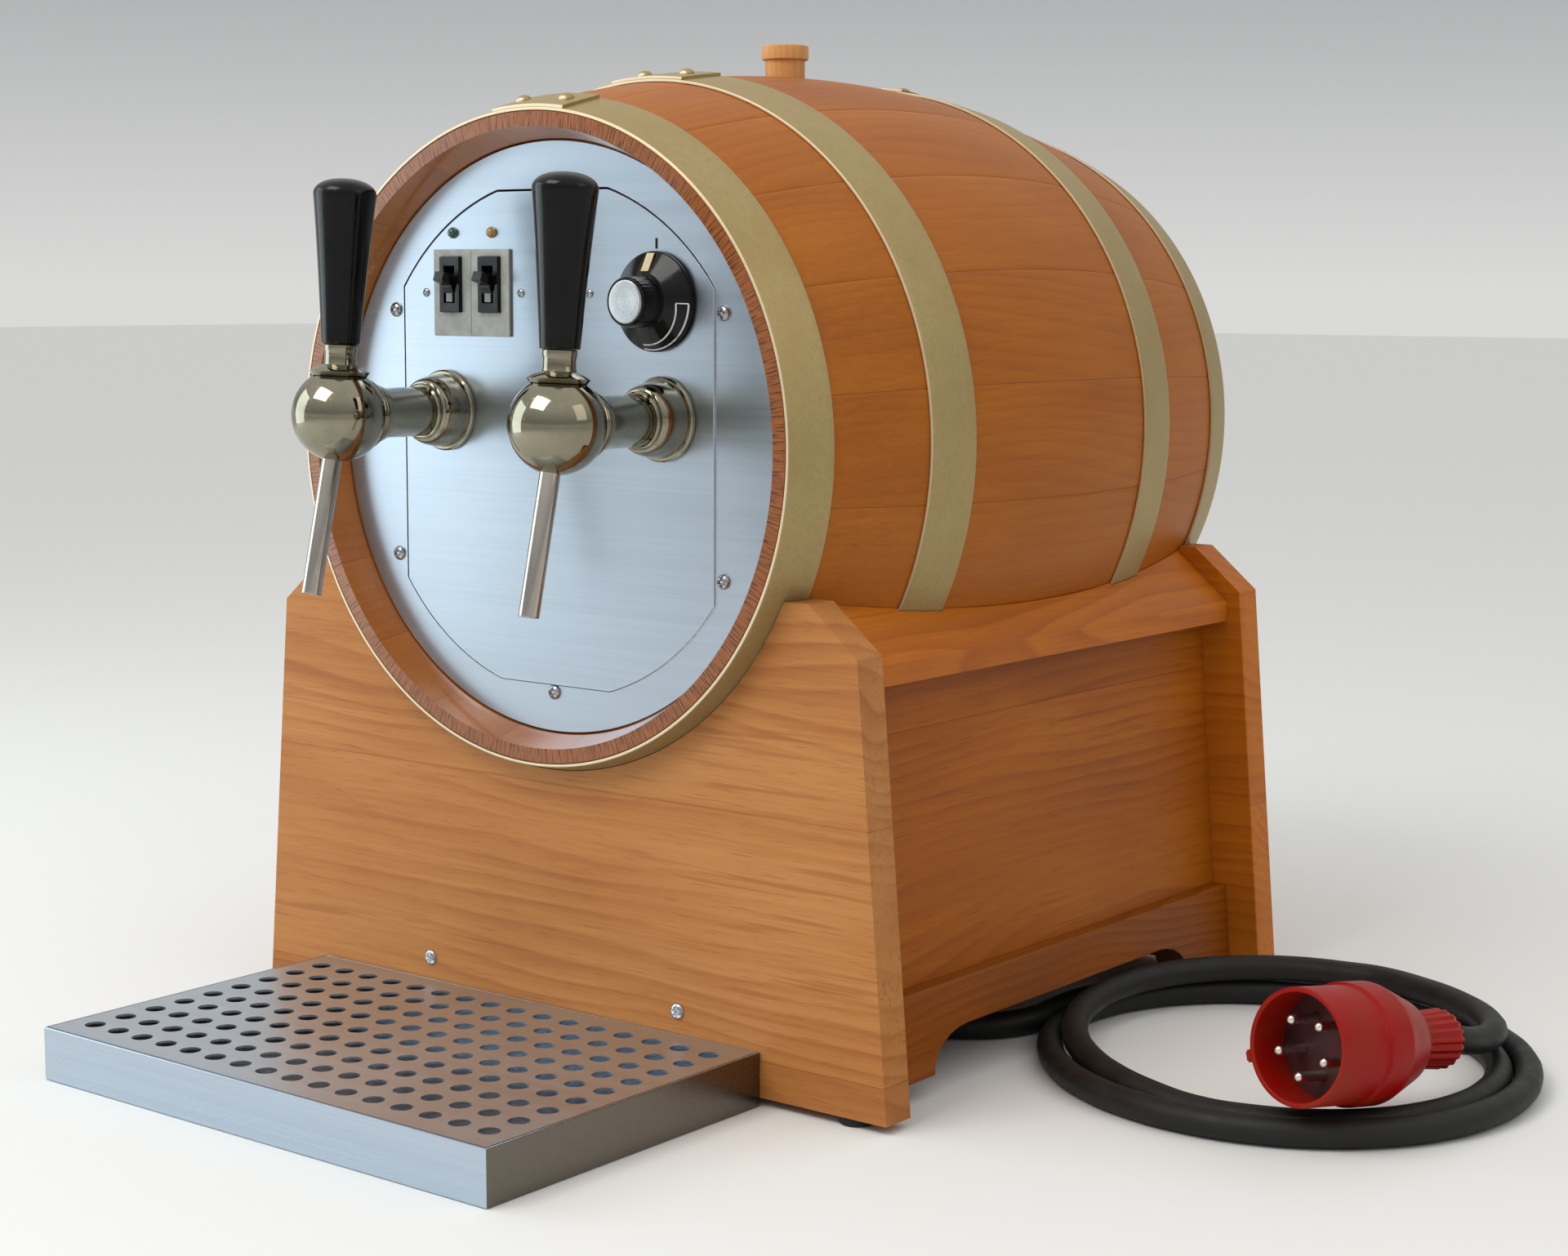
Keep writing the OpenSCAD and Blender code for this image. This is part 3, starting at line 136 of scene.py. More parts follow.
class Flow:
    # a value in a node tree, so that sums on it are written as plain sums
    def __init__(self, tree, socket):
        self.tree, self.socket = tree, socket

    def at(self, output):
        return Flow(self.tree, self.socket.node.outputs[output])

    def math(self, operation, *others, clamp=False):
        return put(self.tree, "ShaderNodeMath", (self, *others), operation=operation, use_clamp=clamp)

    def __add__(self, other):
        return self.math("ADD", other)

    def __sub__(self, other):
        return self.math("SUBTRACT", other)

    def __mul__(self, other):
        return self.math("MULTIPLY", other)

    def __truediv__(self, other):
        return self.math("DIVIDE", other)

    def __rsub__(self, other):
        return put(self.tree, "ShaderNodeMath", (other, self), operation="SUBTRACT")

    def __rtruediv__(self, other):
        return put(self.tree, "ShaderNodeMath", (other, self), operation="DIVIDE")

    def vector(self, operation, other):
        return put(self.tree, "ShaderNodeVectorMath", (self, other), operation=operation)

    def times(self, stretch):
        return self.vector("MULTIPLY", stretch)

    def scaled(self, factor):
        return put(self.tree, "ShaderNodeVectorMath", {"Vector": self, "Scale": factor}, operation="SCALE")

    def parts(self):
        split = put(self.tree, "ShaderNodeSeparateXYZ", (self,))
        return [split.at(i) for i in range(3)]

    def noise(self, detail=2.0, roughness=0.5):
        inputs = {"Vector": self, "Scale": 1.0, "Detail": detail, "Roughness": roughness}
        return put(self.tree, "ShaderNodeTexNoise", inputs)

    def spread(self, low, high, toLow=0.0, toHigh=1.0, kind="SMOOTHSTEP"):
        return put(self.tree, "ShaderNodeMapRange", (self, low, high, toLow, toHigh), interpolation_type=kind)

    def mix(self, first, second):
        # the colour inputs and output of the mix node have no names of their own
        return put(self.tree, "ShaderNodeMix", {0: self, 6: first, 7: second}, data_type="RGBA").at(2)

    def ramp(self, colours, places=(0.0, 0.5, 1.0)):
        ramp = put(self.tree, "ShaderNodeValToRGB", (self,))
        elements = ramp.socket.node.color_ramp.elements
        while len(elements) < len(colours):
            elements.new(0.5)
        for element, place, colour in zip(elements, places, colours):
            element.position, element.color = place, (*colour, 1)
        return ramp


def joined(tree, *parts):
    return put(tree, "ShaderNodeCombineXYZ", parts)


def reachOf(first, second):
    return (first * first + second * second).math("SQRT")


def newTree(name, kind, inputs, outputs):
    # inputs and outputs hold the socket names for each kind of socket
    tree = bpy.data.node_groups.new(name, kind + "NodeTree")
    for way, sockets in (("INPUT", inputs), ("OUTPUT", outputs)):
        for sort, labels in sockets.items():
            for label in labels:
                tree.interface.new_socket(label, in_out=way, socket_type="NodeSocket" + sort)
    entry, out = tree.nodes.new("NodeGroupInput"), tree.nodes.new("NodeGroupOutput")
    return tree, Sizes({socket.name: Flow(tree, socket) for socket in entry.outputs}), out.inputs


def closeTree(tree, out, values):
    fill(tree, out, values)
    return tree


# shared effects, each a shader group
grainNoises = {
    # stretch along the axes, detail, roughness
    "slow": ((7, 2.2, 7), 2.0, 0.5),
    "patch": ((17, 3.4, 17), 1.0, 0.5),
    "figure": ((26, 5.5, 26), 3.0, 0.5),
    "dash": ((330, 13, 330), 1.0, 0.5),
    "fibre": ((620, 9, 620), 3.0, 0.62),
    "fleck": ((1500, 52, 1500), 1.0, 0.5),
}
grainLook = Sizes(
    seedShift=(0.31, 1.73, 0.0), sway=0.09, slant=0.05, wander=2.4, sharpness=1.6, ringEnd=(0.82, 1.0, 1.0, 0.0),
    ringPatch=(0.36, 0.62, 0.25, 1.0), dashes=(0.58, 0.70), dashPatch=(0.46, 0.60), flecks=(0.6, 0.74),
)
markLook = Sizes(
    smudge=(0.35, 0.68), smudgeNoise=(4.0, 0.6), speck=(0.62, 0.72), speckScale=14,
    scratch=(0.66, 0.72), scratchSkew=(30, 1.5, 7), scratchDetail=1.0,
    coarse=(0.6, 0.22, 0.22), lineNoise=(3.0, 0.7), cloudScale=14, cloudDetail=3.0,
)


def makeWoodGrain():
    s = grainLook
    tree, given, out = newTree(
        "woodGrain", "Shader", {"Vector": ["space"], "Float": ["ringPitch", "heart", "seed"]},
        {"Float": ["rings", "fibre", "pores", "figure"]},
    )
    space = given.space.vector("ADD", joined(tree, *s.seedShift).scaled(given.seed))
    noises = Sizes({name: space.times(stretch).noise(*detail) for name, (stretch, *detail) in grainNoises.items()})
    x, y, z = space.parts()
    across = noises.slow * s.sway + x
    through = y * s.slant + z + given.heart
    saw = (noises.patch * s.wander + reachOf(across, through) / given.ringPitch).math("FRACT")
    rings = saw.math("POWER", s.sharpness) * saw.spread(*s.ringEnd) * noises.patch.spread(*s.ringPatch)
    dashes = noises.dash.spread(*s.dashes) * noises.figure.spread(*s.dashPatch)
    pores = noises.fleck.spread(*s.flecks).math("MAXIMUM", dashes)
    return closeTree(tree, out, {"rings": rings, "fibre": noises.fibre, "pores": pores, "figure": noises.figure})


def makeHandling():
    s = markLook
    tree, given, out = newTree(
        "handlingMarks", "Shader", {"Vector": ["space"], "Float": ["scale"]}, {"Float": ["smudge", "speck", "scratch"]}
    )
    space = given.space.scaled(given.scale)
    return closeTree(tree, out, {
        "smudge": space.noise(*s.smudgeNoise).spread(*s.smudge),
        "speck": space.scaled(s.speckScale).noise().spread(*s.speck),
        "scratch": space.times(s.scratchSkew).noise(s.scratchDetail).spread(*s.scratch),
    })


def makeBrushing():
    s = markLook
    tree, given, out = newTree("brushedLines", "Shader", {"Vector": ["space", "along"]}, {"Float": ["lines", "cloud"]})
    space = given.space.times(given.along)
    lines = space.times(s.coarse).noise() * 0.5 + space.noise(*s.lineNoise) * 0.5
    return closeTree(tree, out, {"lines": lines, "cloud": given.space.scaled(s.cloudScale).noise(s.cloudDetail)})


woodGrain = makeWoodGrain()
handlingMarks = makeHandling()
brushedLines = makeBrushing()

# finishes


def newFinish(name):
    material = bpy.data.materials.new(name)
    material.use_nodes = True
    return material, material.node_tree


def finished(material, inputs, height=None, distance=0.0, strength=1.0):
    tree = material.node_tree
    sockets = tree.nodes["Principled BSDF"].inputs
    fill(tree, sockets, inputs)
    if height is not None:
        bump = put(tree, "ShaderNodeBump", {"Height": height, "Distance": distance, "Strength": strength})
        feed(tree, sockets["Normal"], bump)
    return material


def objectSpace(tree):
    return put(tree, "ShaderNodeTexCoord").at("Object")


def handled(tree, scale):
    return put(tree, "ShaderNodeGroup", {"space": objectSpace(tree), "scale": scale}, node_tree=handlingMarks)


def facing(tree, axis):
    return put(tree, "ShaderNodeNewGeometry").at("True Normal").parts()[axis]


def shaded(colour, factor):
    return tuple(part * factor for part in colour)


# wood: sizes in metres, and each ramp runs from the dark grain lines to the pale ground
woodStops = Sizes(
    # cradle, side and lowRail are lit and shaded copies of the one cradle oak: cradle, for the front board that faces
    # the lamps, is the paler lit copy with painted light, while side and lowRail, for the side panels and bottom rails
    # turned from them, are darker with painted shade
    cradle=((0.255, 0.072, 0.016), (0.430, 0.172, 0.046), (0.560, 0.268, 0.092)),
    side=((0.190, 0.036, 0.0012), (0.345, 0.093, 0.003), (0.460, 0.152, 0.009)),
    lowRail=((0.150, 0.030, 0.001), (0.270, 0.072, 0.003), (0.380, 0.120, 0.008)),
    rear=((0.300, 0.066, 0.003), (0.480, 0.138, 0.007), (0.580, 0.200, 0.020)),
    barrel=((0.212, 0.045, 0.002), (0.354, 0.102, 0.005), (0.455, 0.160, 0.014)),
    bung=((0.440, 0.180, 0.050), (0.640, 0.320, 0.110), (0.740, 0.430, 0.190)),
    end=((0.060, 0.012, 0.002), (0.270, 0.076, 0.008), (0.420, 0.140, 0.022)),
)
woodLook = Sizes(
    gloss=0.2, fibre=0.42, figure=0.72, ring=-0.34, floor=0.06, pore=0.4, rough=0.36, roughFibre=0.2,
    reliefFibre=0.5, reliefPore=0.6, relief=(0.00016, 0.5), seam=0.0007, seamTone=-0.26, plankTone=0.16, plankSeed=5.0,
)
staveLook = Sizes(tone=0.12, seed=9.0, pitch=0.008, heart=0.09, marked=0.45, coatRough=0.12, coatIor=1.8)
endLook = Sizes(
    rays=62.0, rings=40.0, tears=(2.6, 1.4, 1.0), torn=(0.5, 0.6), tornShare=0.85, dots=1300, dotShare=0.5,
    rayNoise=(4.0, 0.7), rayShare=0.6, floor=0.05, rough=0.5, coat=0.7, coatRough=0.16, relief=(0.0003, 0.5),
)


def grainFinish(material, space, seed, stops, pitch, heart, tone, marked=1.0, **coat):
    s = woodLook
    inputs = {"space": space, "ringPitch": pitch, "heart": heart, "seed": seed}
    grain = put(material.node_tree, "ShaderNodeGroup", inputs, node_tree=woodGrain)
    fibre, pores = grain.at("fibre"), grain.at("pores")
    level = fibre * s.fibre + grain.at("figure") * s.figure + grain.at("rings") * (s.ring * marked) + tone
    colour = level.math("SUBTRACT", s.floor, clamp=True).ramp(stops)
    return finished(material, {
        "Base Color": (pores * (s.pore * marked)).mix(colour, stops[0]),
        "Roughness": fibre * s.roughFibre + s.rough,
        "Specular IOR Level": s.gloss,
        **{"Coat " + key: value for key, value in coat.items()},
    }, fibre * s.reliefFibre - pores * s.reliefPore, *s.relief)


def makeBoardWood(name, axes, stops, pitch=0.0085, heart=0.075, plank=0.118, seed=0.0, shift=0.0195):
    # planks are glued edge to edge along the first axis, each with its own grain along the second
    s = woodLook
    material, tree = newFinish(name)
    parts = dict(zip("XYZ", objectSpace(tree).parts()))
    space = [parts[axis] for axis in axes]
    station = (space[0] + shift) / plank
    drawn = put(tree, "ShaderNodeTexWhiteNoise", {"W": station.math("FLOOR") + seed}, noise_dimensions="1D")
    chance = drawn.at("Value")
    tone = (chance - 0.5) * s.plankTone
    tone += station.math("PINGPONG", 0.5).spread(0.0, s.seam / plank, s.seamTone, 0.0)
    return grainFinish(material, joined(tree, *space), chance * s.plankSeed + seed, stops, pitch, heart, tone)


def makeStaveWood(name, coat=0.0):
    s = staveLook
    material, tree = newFinish(name)
    chance = put(tree, "ShaderNodeAttribute", attribute_name="staveTone").at("Fac")
    space = put(tree, "ShaderNodeAttribute", attribute_name="grainSpace").at("Vector")
    tone = (chance - 0.5) * s.tone
    coated = {"Weight": coat, "Roughness": s.coatRough, "IOR": s.coatIor}
    return grainFinish(material, space, chance * s.seed, woodStops.barrel, s.pitch, s.heart, tone, s.marked, **coated)


def makeEndGrain(name, centre, stops):
    # rays run out from the barrel's axis, and the torn pores are darker
    s = endLook
    material, tree = newFinish(name)
    around = objectSpace(tree).vector("SUBTRACT", centre)
    x, _, z = around.parts()
    polar = joined(tree, x.math("ARCTAN2", z) * s.rays, reachOf(x, z) * s.rings)
    rays = polar.noise(*s.rayNoise)
    torn = polar.times(s.tears).noise().spread(*s.torn)
    level = around.scaled(s.dots).noise() * s.dotShare + rays * s.rayShare
    colour = level.math("SUBTRACT", s.floor, clamp=True).ramp(stops)
    return finished(material, {
        "Base Color": (torn * s.tornShare).mix(colour, stops[0]), "Roughness": s.rough,
        "Specular IOR Level": woodLook.gloss, "Coat Weight": s.coat, "Coat Roughness": s.coatRough,
    }, rays - torn, *s.relief)


# metals
metalLook = Sizes(
    smudged=0.868, scratch=(-0.00003, 0.35),
    lines=(0.36, 0.64), darkLine=0.95, paleLine=1.025, lineRough=0.1, lineRelief=(0.00001, 0.6),
)
zincLook = Sizes(
    spangle=520.0, marks=26.0, dark=(0.365, 0.275, 0.118), pale=(0.405, 0.308, 0.138), edge=(0.6, 0.9),
    # share and colour of each layer over the spangles
    smudge=(0.35, (0.33, 0.235, 0.085)), speck=(0.12, (0.15, 0.10, 0.04)), rubbed=(0.8, (0.80, 0.68, 0.50)),
    rough=0.44, rougher=0.06, metallic=0.6, gloss=0.3, high=(0.8, 0.1), relief=(0.00012, 0.4),
)
spunLook = Sizes(
    uneven=900.0, unevenDetail=3.0, turns=16000.0, dark=(0.40, 0.41, 0.42), pale=(0.58, 0.59, 0.60),
    rough=0.22, rougher=0.1, drawn=0.85, relief=(0.00001, 0.5),
)


def makeMetal(name, colour, roughness, rougher, scale):
    s = metalLook
    material, tree = newFinish(name)
    marks = handled(tree, scale)
    smudge = marks.at("smudge")
    base = smudge.mix(colour, shaded(colour, s.smudged))
    inputs = {"Base Color": base, "Roughness": smudge * rougher + roughness, "Metallic": 1.0}
    return finished(material, inputs, marks.at("scratch"), *s.scratch)


def makeBrushed(name, colour, roughness, along, cloudy=0.08, flank=None, turned=(0.5, 0.9)):
    s = metalLook
    material, tree = newFinish(name)
    brushed = put(tree, "ShaderNodeGroup", {"space": objectSpace(tree), "along": along}, node_tree=brushedLines)
    lines = brushed.at("lines")
    bright = lines.spread(*s.lines).mix(shaded(colour, s.darkLine), shaded(colour, s.paleLine))
    if flank is not None:
        # colour painted on faces turned to the right: a painted highlight on the brushed sheet's right edges, painted
        # shade on the tray's right side
        bright = facing(tree, 0).spread(*turned).mix(bright, flank)
    rough = brushed.at("cloud") * cloudy + (roughness - cloudy / 2) + lines * s.lineRough
    return finished(material, {"Base Color": bright, "Roughness": rough, "Metallic": 1.0}, lines, *s.lineRelief)


def makeHoopIron():
    # dull zinc over steel: fine spangles, brownish stains, and a paler colour on faces that look along the barrel's
    # axis, the bands' cut edges
    s = zincLook
    material, tree = newFinish("dullZinc")
    spangle = put(tree, "ShaderNodeTexVoronoi", {"Vector": objectSpace(tree), "Scale": s.spangle}).at("Color")
    value = put(tree, "ShaderNodeSeparateColor", (spangle,))
    marks = handled(tree, s.marks)
    # faces looking along the barrel's axis, the bands' cut edges, are made paler
    smudge, rubbed = marks.at("smudge"), facing(tree, 1).math("ABSOLUTE").spread(*s.edge)
    colour = value.mix(s.dark, s.pale)
    for mask, (share, layer) in ((smudge, s.smudge), (marks.at("speck"), s.speck), (rubbed, s.rubbed)):
        colour = (mask * share).mix(colour, layer)
    return finished(material, {
        "Base Color": colour, "Roughness": value * s.rougher + s.rough, "Metallic": s.metallic,
        "Specular IOR Level": s.gloss,
    }, smudge * s.high[0] + value * s.high[1], *s.relief)


def makeSpun():
    # turned face of the knob's cap
    s = spunLook
    material, tree = newFinish("spunAluminium")
    x, _, z = objectSpace(tree).vector("SUBTRACT", middleOf("knob_cap")).parts()
    reach = reachOf(x, z)
    uneven = joined(tree, reach * s.uneven).noise(s.unevenDetail)
    return finished(material, {
        "Base Color": uneven.mix(s.dark, s.pale), "Roughness": uneven * s.rougher + s.rough,
        "Metallic": 1.0, "Anisotropic": s.drawn,
        "Tangent": put(tree, "ShaderNodeTangent", direction_type="RADIAL", axis="Y"),
    }, (reach * s.turns).math("SINE"), *s.relief)


# plastics, rubber and paint
plasticLook = Sizes(rougher=0.14, speck=0.5)
lensLook = Sizes(deepen=0.45, marks=300.0, rough=0.1, rougher=0.12, coat=0.6, coatRough=0.05)


def makePlastic(name, colour, roughness, worn, scale=55.0, wornShare=0.35, grain=0.00002, gloss=0.5):
    s = plasticLook
    material, tree = newFinish(name)
    marks = handled(tree, scale)
    smudge = marks.at("smudge")
    base = (smudge.math("MAXIMUM", marks.at("scratch")) * wornShare).mix(colour, worn)
    inputs = {"Base Color": base, "Roughness": smudge * s.rougher + roughness, "Specular IOR Level": gloss}
    return finished(material, inputs, marks.at("speck"), grain, s.speck)


def makeLens(name, colour, deep):
    s = lensLook
    material, tree = newFinish(name)
    aside = put(tree, "ShaderNodeLayerWeight", {"Blend": s.deepen}).at("Facing")
    return finished(material, {
        "Base Color": aside.mix(colour, deep), "Roughness": handled(tree, s.marks).at("smudge") * s.rougher + s.rough,
        "Coat Weight": s.coat, "Coat Roughness": s.coatRough,
    })


# one finish for each slot, and others for single pieces
finishes = {
    # the side panels' oak is the darker copy, with painted shade
    "cradle_wood": makeBoardWood("sideWood", "ZYX", woodStops.side, plank=0.2, seed=3.0),
    "barrel_wood": makeBoardWood("headWood", "XZY", woodStops.barrel, plank=0.0497, seed=8.0),
    "bung_wood": makeBoardWood("bungWood", "XZY", woodStops.bung, pitch=0.004, plank=0.3, seed=5.0),
    "hoop_iron": makeHoopIron(),
    # its right-facing edges get a near-white painted highlight
    "brushed_sheet": makeBrushed(
        "brushedSheet", (0.395, 0.445, 0.505), 0.25, (5.0, 1100.0, 1100.0), flank=(0.93, 0.95, 0.97), turned=(0.1, 0.3)
    ),
    # its right side gets near-black painted shade
    "tray_steel": makeBrushed("traySteel", (0.50, 0.59, 0.69), 0.22, (6.0, 900.0, 900.0), flank=(0.17, 0.15, 0.125)),
    "inner_steel": makeBrushed("millSteel", (0.58, 0.58, 0.58), 0.36, (900.0, 5.0, 900.0)),
    "screw_steel": makeMetal("screwSteel", (0.42, 0.42, 0.43), 0.14, 0.12, 180.0),
    "tap_chrome": makeMetal("tapChrome", (0.285, 0.262, 0.190), 0.055, 0.06, 70.0),
    "spun_aluminium": makeSpun(),
    "copper_bulb": makeMetal("copperBulb", (0.72, 0.40, 0.24), 0.3, 0.1, 90.0),
    "pin_nickel": makeMetal("pinNickel", (0.80, 0.77, 0.70), 0.2, 0.12, 200.0),
    "black_plastic": makePlastic("blackGloss", (0.0024, 0.0026, 0.0025), 0.11, (0.007, 0.0074, 0.0072), gloss=0.24),
    "grey_plastic": makePlastic("greyMoulding", (0.20, 0.20, 0.20), 0.45, (0.27, 0.27, 0.26)),
    "pale_plastic": makePlastic("paleFrame", (0.33, 0.335, 0.315), 0.42, (0.23, 0.22, 0.19), 120.0, 0.6),
    "cream_paint": makePlastic("creamPaint", (0.62, 0.52, 0.31), 0.5, (0.45, 0.36, 0.18), 400.0),
    "green_lens": makeLens("greenLens", (0.020, 0.085, 0.055), (0.004, 0.018, 0.012)),
    "amber_lens": makeLens("amberLens", (0.36, 0.22, 0.045), (0.13, 0.065, 0.008)),
    "red_plastic": makePlastic(
        "redMoulding", (0.29, 0.0022, 0.0014), 0.34, (0.22, 0.030, 0.007), 30.0, 0.5, gloss=0.16
    ),
    "dark_red_plastic": makePlastic("darkRedInsert", (0.030, 0.0012, 0.0016), 0.5, (0.085, 0.003, 0.005), 80.0, 0.6),
    "black_rubber": makePlastic(
        "blackRubber", (0.010, 0.010, 0.009), 0.5, (0.022, 0.021, 0.019), 90.0, grain=0.00006, gloss=0.3
    ),
}
others = Sizes(
    spoutSteel=makeMetal("spoutSteel", (0.50, 0.455, 0.40), 0.10, 0.08, 70.0),
    gridSteel=makeBrushed("gridSteel", (0.58, 0.63, 0.68), 0.33, (6.0, 700.0, 700.0), cloudy=0.14),
    # the front board's oak is the paler lit copy, with painted light
    frontWood=makeBoardWood("frontBoardWood", "ZXY", woodStops.cradle, 0.011, 0.05, 0.1215, 1.0, 0.099),
    rearWood=makeBoardWood("rearBoardWood", "ZXY", woodStops.rear, plank=0.1215, seed=6.0),
    # the bottom rails' oak is the darkest copy, with painted shade
    lowRailWood=makeBoardWood("lowRailWood", "ZYX", woodStops.lowRail, pitch=0.006, plank=0.3, seed=4.0),
    railWood=makeBoardWood("railWood", "XYZ", woodStops.rear, pitch=0.006, plank=0.3, seed=7.0),
    staveWood=makeStaveWood("staveLacquer"),
    staveEnd=makeEndGrain("staveEndGrain", middleOf("barrel_staves"), woodStops.end),
    staveLip=makeStaveWood("lipLacquer", 1.0),
    whiteMark=makePlastic("whiteMark", (0.72, 0.73, 0.74), 0.5, (0.5, 0.5, 0.5), 300.0),
)
print("finishes made:", len(finishes) + len(others))

# every solid gets its finish first; pieces below then stand for some of them
shownAs = {
    "valve_plug_left": "tap_chrome", "valve_plug_right": "tap_chrome", "inlet_couplings": "tap_chrome",
    "thermostat_body": "black_plastic", "terminal_block": "grey_plastic",
}
for node, solid in nodes.items():
    solid.data.materials.clear()
    solid.data.materials.append(finishes[shownAs.get(node, slotOf[node])])
print("solids finished:", len(nodes))

# mesh helpers
welding = Sizes(close=1e-6, thin=1e-7, solid=2e-6, sheet=1e-5)
easing = Sizes(flat=0.5, corner=28, profile=0.6, sharp=24, blockSharp=40, headSharp=38)


def camel(node):
    first, *rest = node.split("_")
    return first + "".join(word.capitalize() for word in rest)


def addPiece(name, mesh, body, slotName, *stoodFor):
    piece = linked(name, mesh)
    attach(piece, body)
    if stoodFor:
        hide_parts(*stoodFor)
    return piece


def standFor(name, mesh, *stoodFor):
    # a piece in the place of solids, on their body
    return addPiece(name, mesh, bodyOf[stoodFor[0]], slotOf[stoodFor[0]], *stoodFor)


def meshOf(name, form):
    mesh = bpy.data.meshes.new(name)
    form.to_mesh(mesh)
    form.free()
    return mesh


def dressMesh(mesh, sharp, *materials):
    mesh.materials.clear()
    for material in materials:
        mesh.materials.append(material)
    mesh.shade_smooth()
    mesh.set_sharp_from_angle(angle=math.radians(sharp))
    return mesh


def closeMesh(name, form, sharp, material):
    bmesh.ops.remove_doubles(form, verts=form.verts, dist=welding.close)
    bmesh.ops.dissolve_degenerate(form, edges=form.edges, dist=welding.thin)
    bmesh.ops.recalc_face_normals(form, faces=form.faces)
    return dressMesh(meshOf(name, form), sharp, material)


def closePiece(name, form, sharp, *stoodFor, material=None):
    mesh = closeMesh(name, form, sharp, material or finishes[slotOf[stoodFor[0]]])
    return standFor(name, mesh, *stoodFor)


def evenly(count, at):
    # points at even shares from 0 to 1
    return [at(k / count) for k in range(count + 1)]


def soften(points, radius, steps=3, most=0.45):
    # the corners of an open outline are rounded, over at most that share of a side, and its two ends are kept
    done = [points[0]]
    for before, here, after in zip(points, points[1:], points[2:]):
        corner = Vector(here)
        toBefore, toAfter = Vector(before) - corner, Vector(after) - corner
        cut = min(radius, most * toBefore.length, most * toAfter.length)
        first, last = corner + toBefore.normalized() * cut, corner + toAfter.normalized() * cut
        spots = evenly(steps, lambda k: first * (1 - k) ** 2 + corner * 2 * k * (1 - k) + last * k * k)
        done += [(spot.x, spot.y) for spot in spots]
    done.append(points[-1])
    return done


def lathe(form, outline, place, steps, start=0.0, sweep=360.0, loop=False, shape=None):
    # outline holds (radius, height) points, and local Z is the axis
    whole = sweep == 360.0
    count = steps if whole else steps + 1
    rings = []
    for i in range(count):
        angle = math.radians(start + sweep * i / steps)
        ring = []
        for radius, height in outline:
            own = radius if shape is None else shape(radius, height, angle)
            ring.append(form.verts.new(place @ Vector((own * math.cos(angle), own * math.sin(angle), height))))
        rings.append(ring)
    last = len(outline) if loop else len(outline) - 1
    for i in range(steps):
        here, there = rings[i], rings[(i + 1) % count]
        for k in range(last):
            m = (k + 1) % len(outline)
            form.faces.new((here[k], here[m], there[m], there[k]))
    if not whole:
        form.faces.new(rings[0])
        form.faces.new(list(reversed(rings[-1])))


def turnedPiece(name, outline, place, steps, sharp, *stoodFor, **settings):
    form = bmesh.new()
    lathe(form, outline, place, steps, **settings)
    return closePiece(name, form, sharp, *stoodFor)


def ripple(depth, count, angle):
    return depth * (0.5 + 0.5 * math.cos(count * angle))


def baked(holder, name):
    # the plain mesh of an object's live modifiers
    depsgraph = bpy.context.evaluated_depsgraph_get()
    mesh = bpy.data.meshes.new_from_object(
        holder.evaluated_get(depsgraph), preserve_all_data_layers=True, depsgraph=depsgraph
    )
    holder.modifiers.clear()
    bpy.data.objects.remove(holder)
    mesh.name = name
    return mesh


def solidForm(node):
    form = bmesh.new()
    form.from_mesh(nodes[node].data)
    bmesh.ops.remove_doubles(form, verts=form.verts, dist=welding.solid)
    return form


def roundedCopy(node, width, material=None, segments=2, reshape=None):
    # a copy of a solid with its edges eased, which then stands for it
    name, form = camel(node), solidForm(node)
    bmesh.ops.dissolve_limit(form, angle_limit=math.radians(easing.flat), verts=form.verts, edges=form.edges)
    if reshape is not None:
        reshape(form)
    corner = math.radians(easing.corner)
    edges = [edge for edge in form.edges if len(edge.link_faces) == 2 and edge.calc_face_angle() > corner]
    bmesh.ops.bevel(
        form, geom=edges, offset=width, offset_type="OFFSET", segments=segments, profile=easing.profile,
        affect="EDGES", clamp_overlap=True,
    )
    holder = linked(name + "Source", dressMesh(meshOf(name, form), easing.sharp, material or finishes[slotOf[node]]))
    # wide flat faces keep their own normals beside eased edges
    holder.modifiers.new("even", "WEIGHTED_NORMAL").keep_sharp = True
    return standFor(name, baked(holder, name), node)


def makeBlock(name, place, size, ease, slotName):
    form = bmesh.new()
    bmesh.ops.create_cube(form, size=1)
    bmesh.ops.scale(form, vec=size, verts=form.verts)
    bmesh.ops.bevel(form, geom=list(form.edges), offset=ease, segments=2, affect="EDGES", clamp_overlap=True)
    bmesh.ops.transform(form, matrix=place, verts=form.verts)
    return addPiece(name, closeMesh(name, form, easing.blockSharp, finishes[slotName]), "dispenser", slotName)


def looseParts(node):
    # corner pairs of each separate solid in a node
    form = solidForm(node)
    seen, boxes = set(), []
    for vert in form.verts:
        if vert in seen:
            continue
        stack, group = [vert], []
        seen.add(vert)
        while stack:
            here = stack.pop()
            group.append(here.co.copy())
            fresh = [edge.other_vert(here) for edge in here.link_edges]
            fresh = [other for other in fresh if other not in seen]
            seen.update(fresh)
            stack += fresh
        boxes.append([Vector([pick(spot[i] for spot in group) for i in range(3)]) for pick in (min, max)])
    form.free()
    return boxes


def aimed(place, axis, sideways=(1, 0, 0)):
    # a place whose local Z runs along the axis
    up = Vector(axis).normalized()
    side = (Vector(sideways) - up * Vector(sideways).dot(up)).normalized()
    turn = Matrix((side, up.cross(side), up)).transposed()
    return Matrix.Translation(place) @ turn.to_4x4()


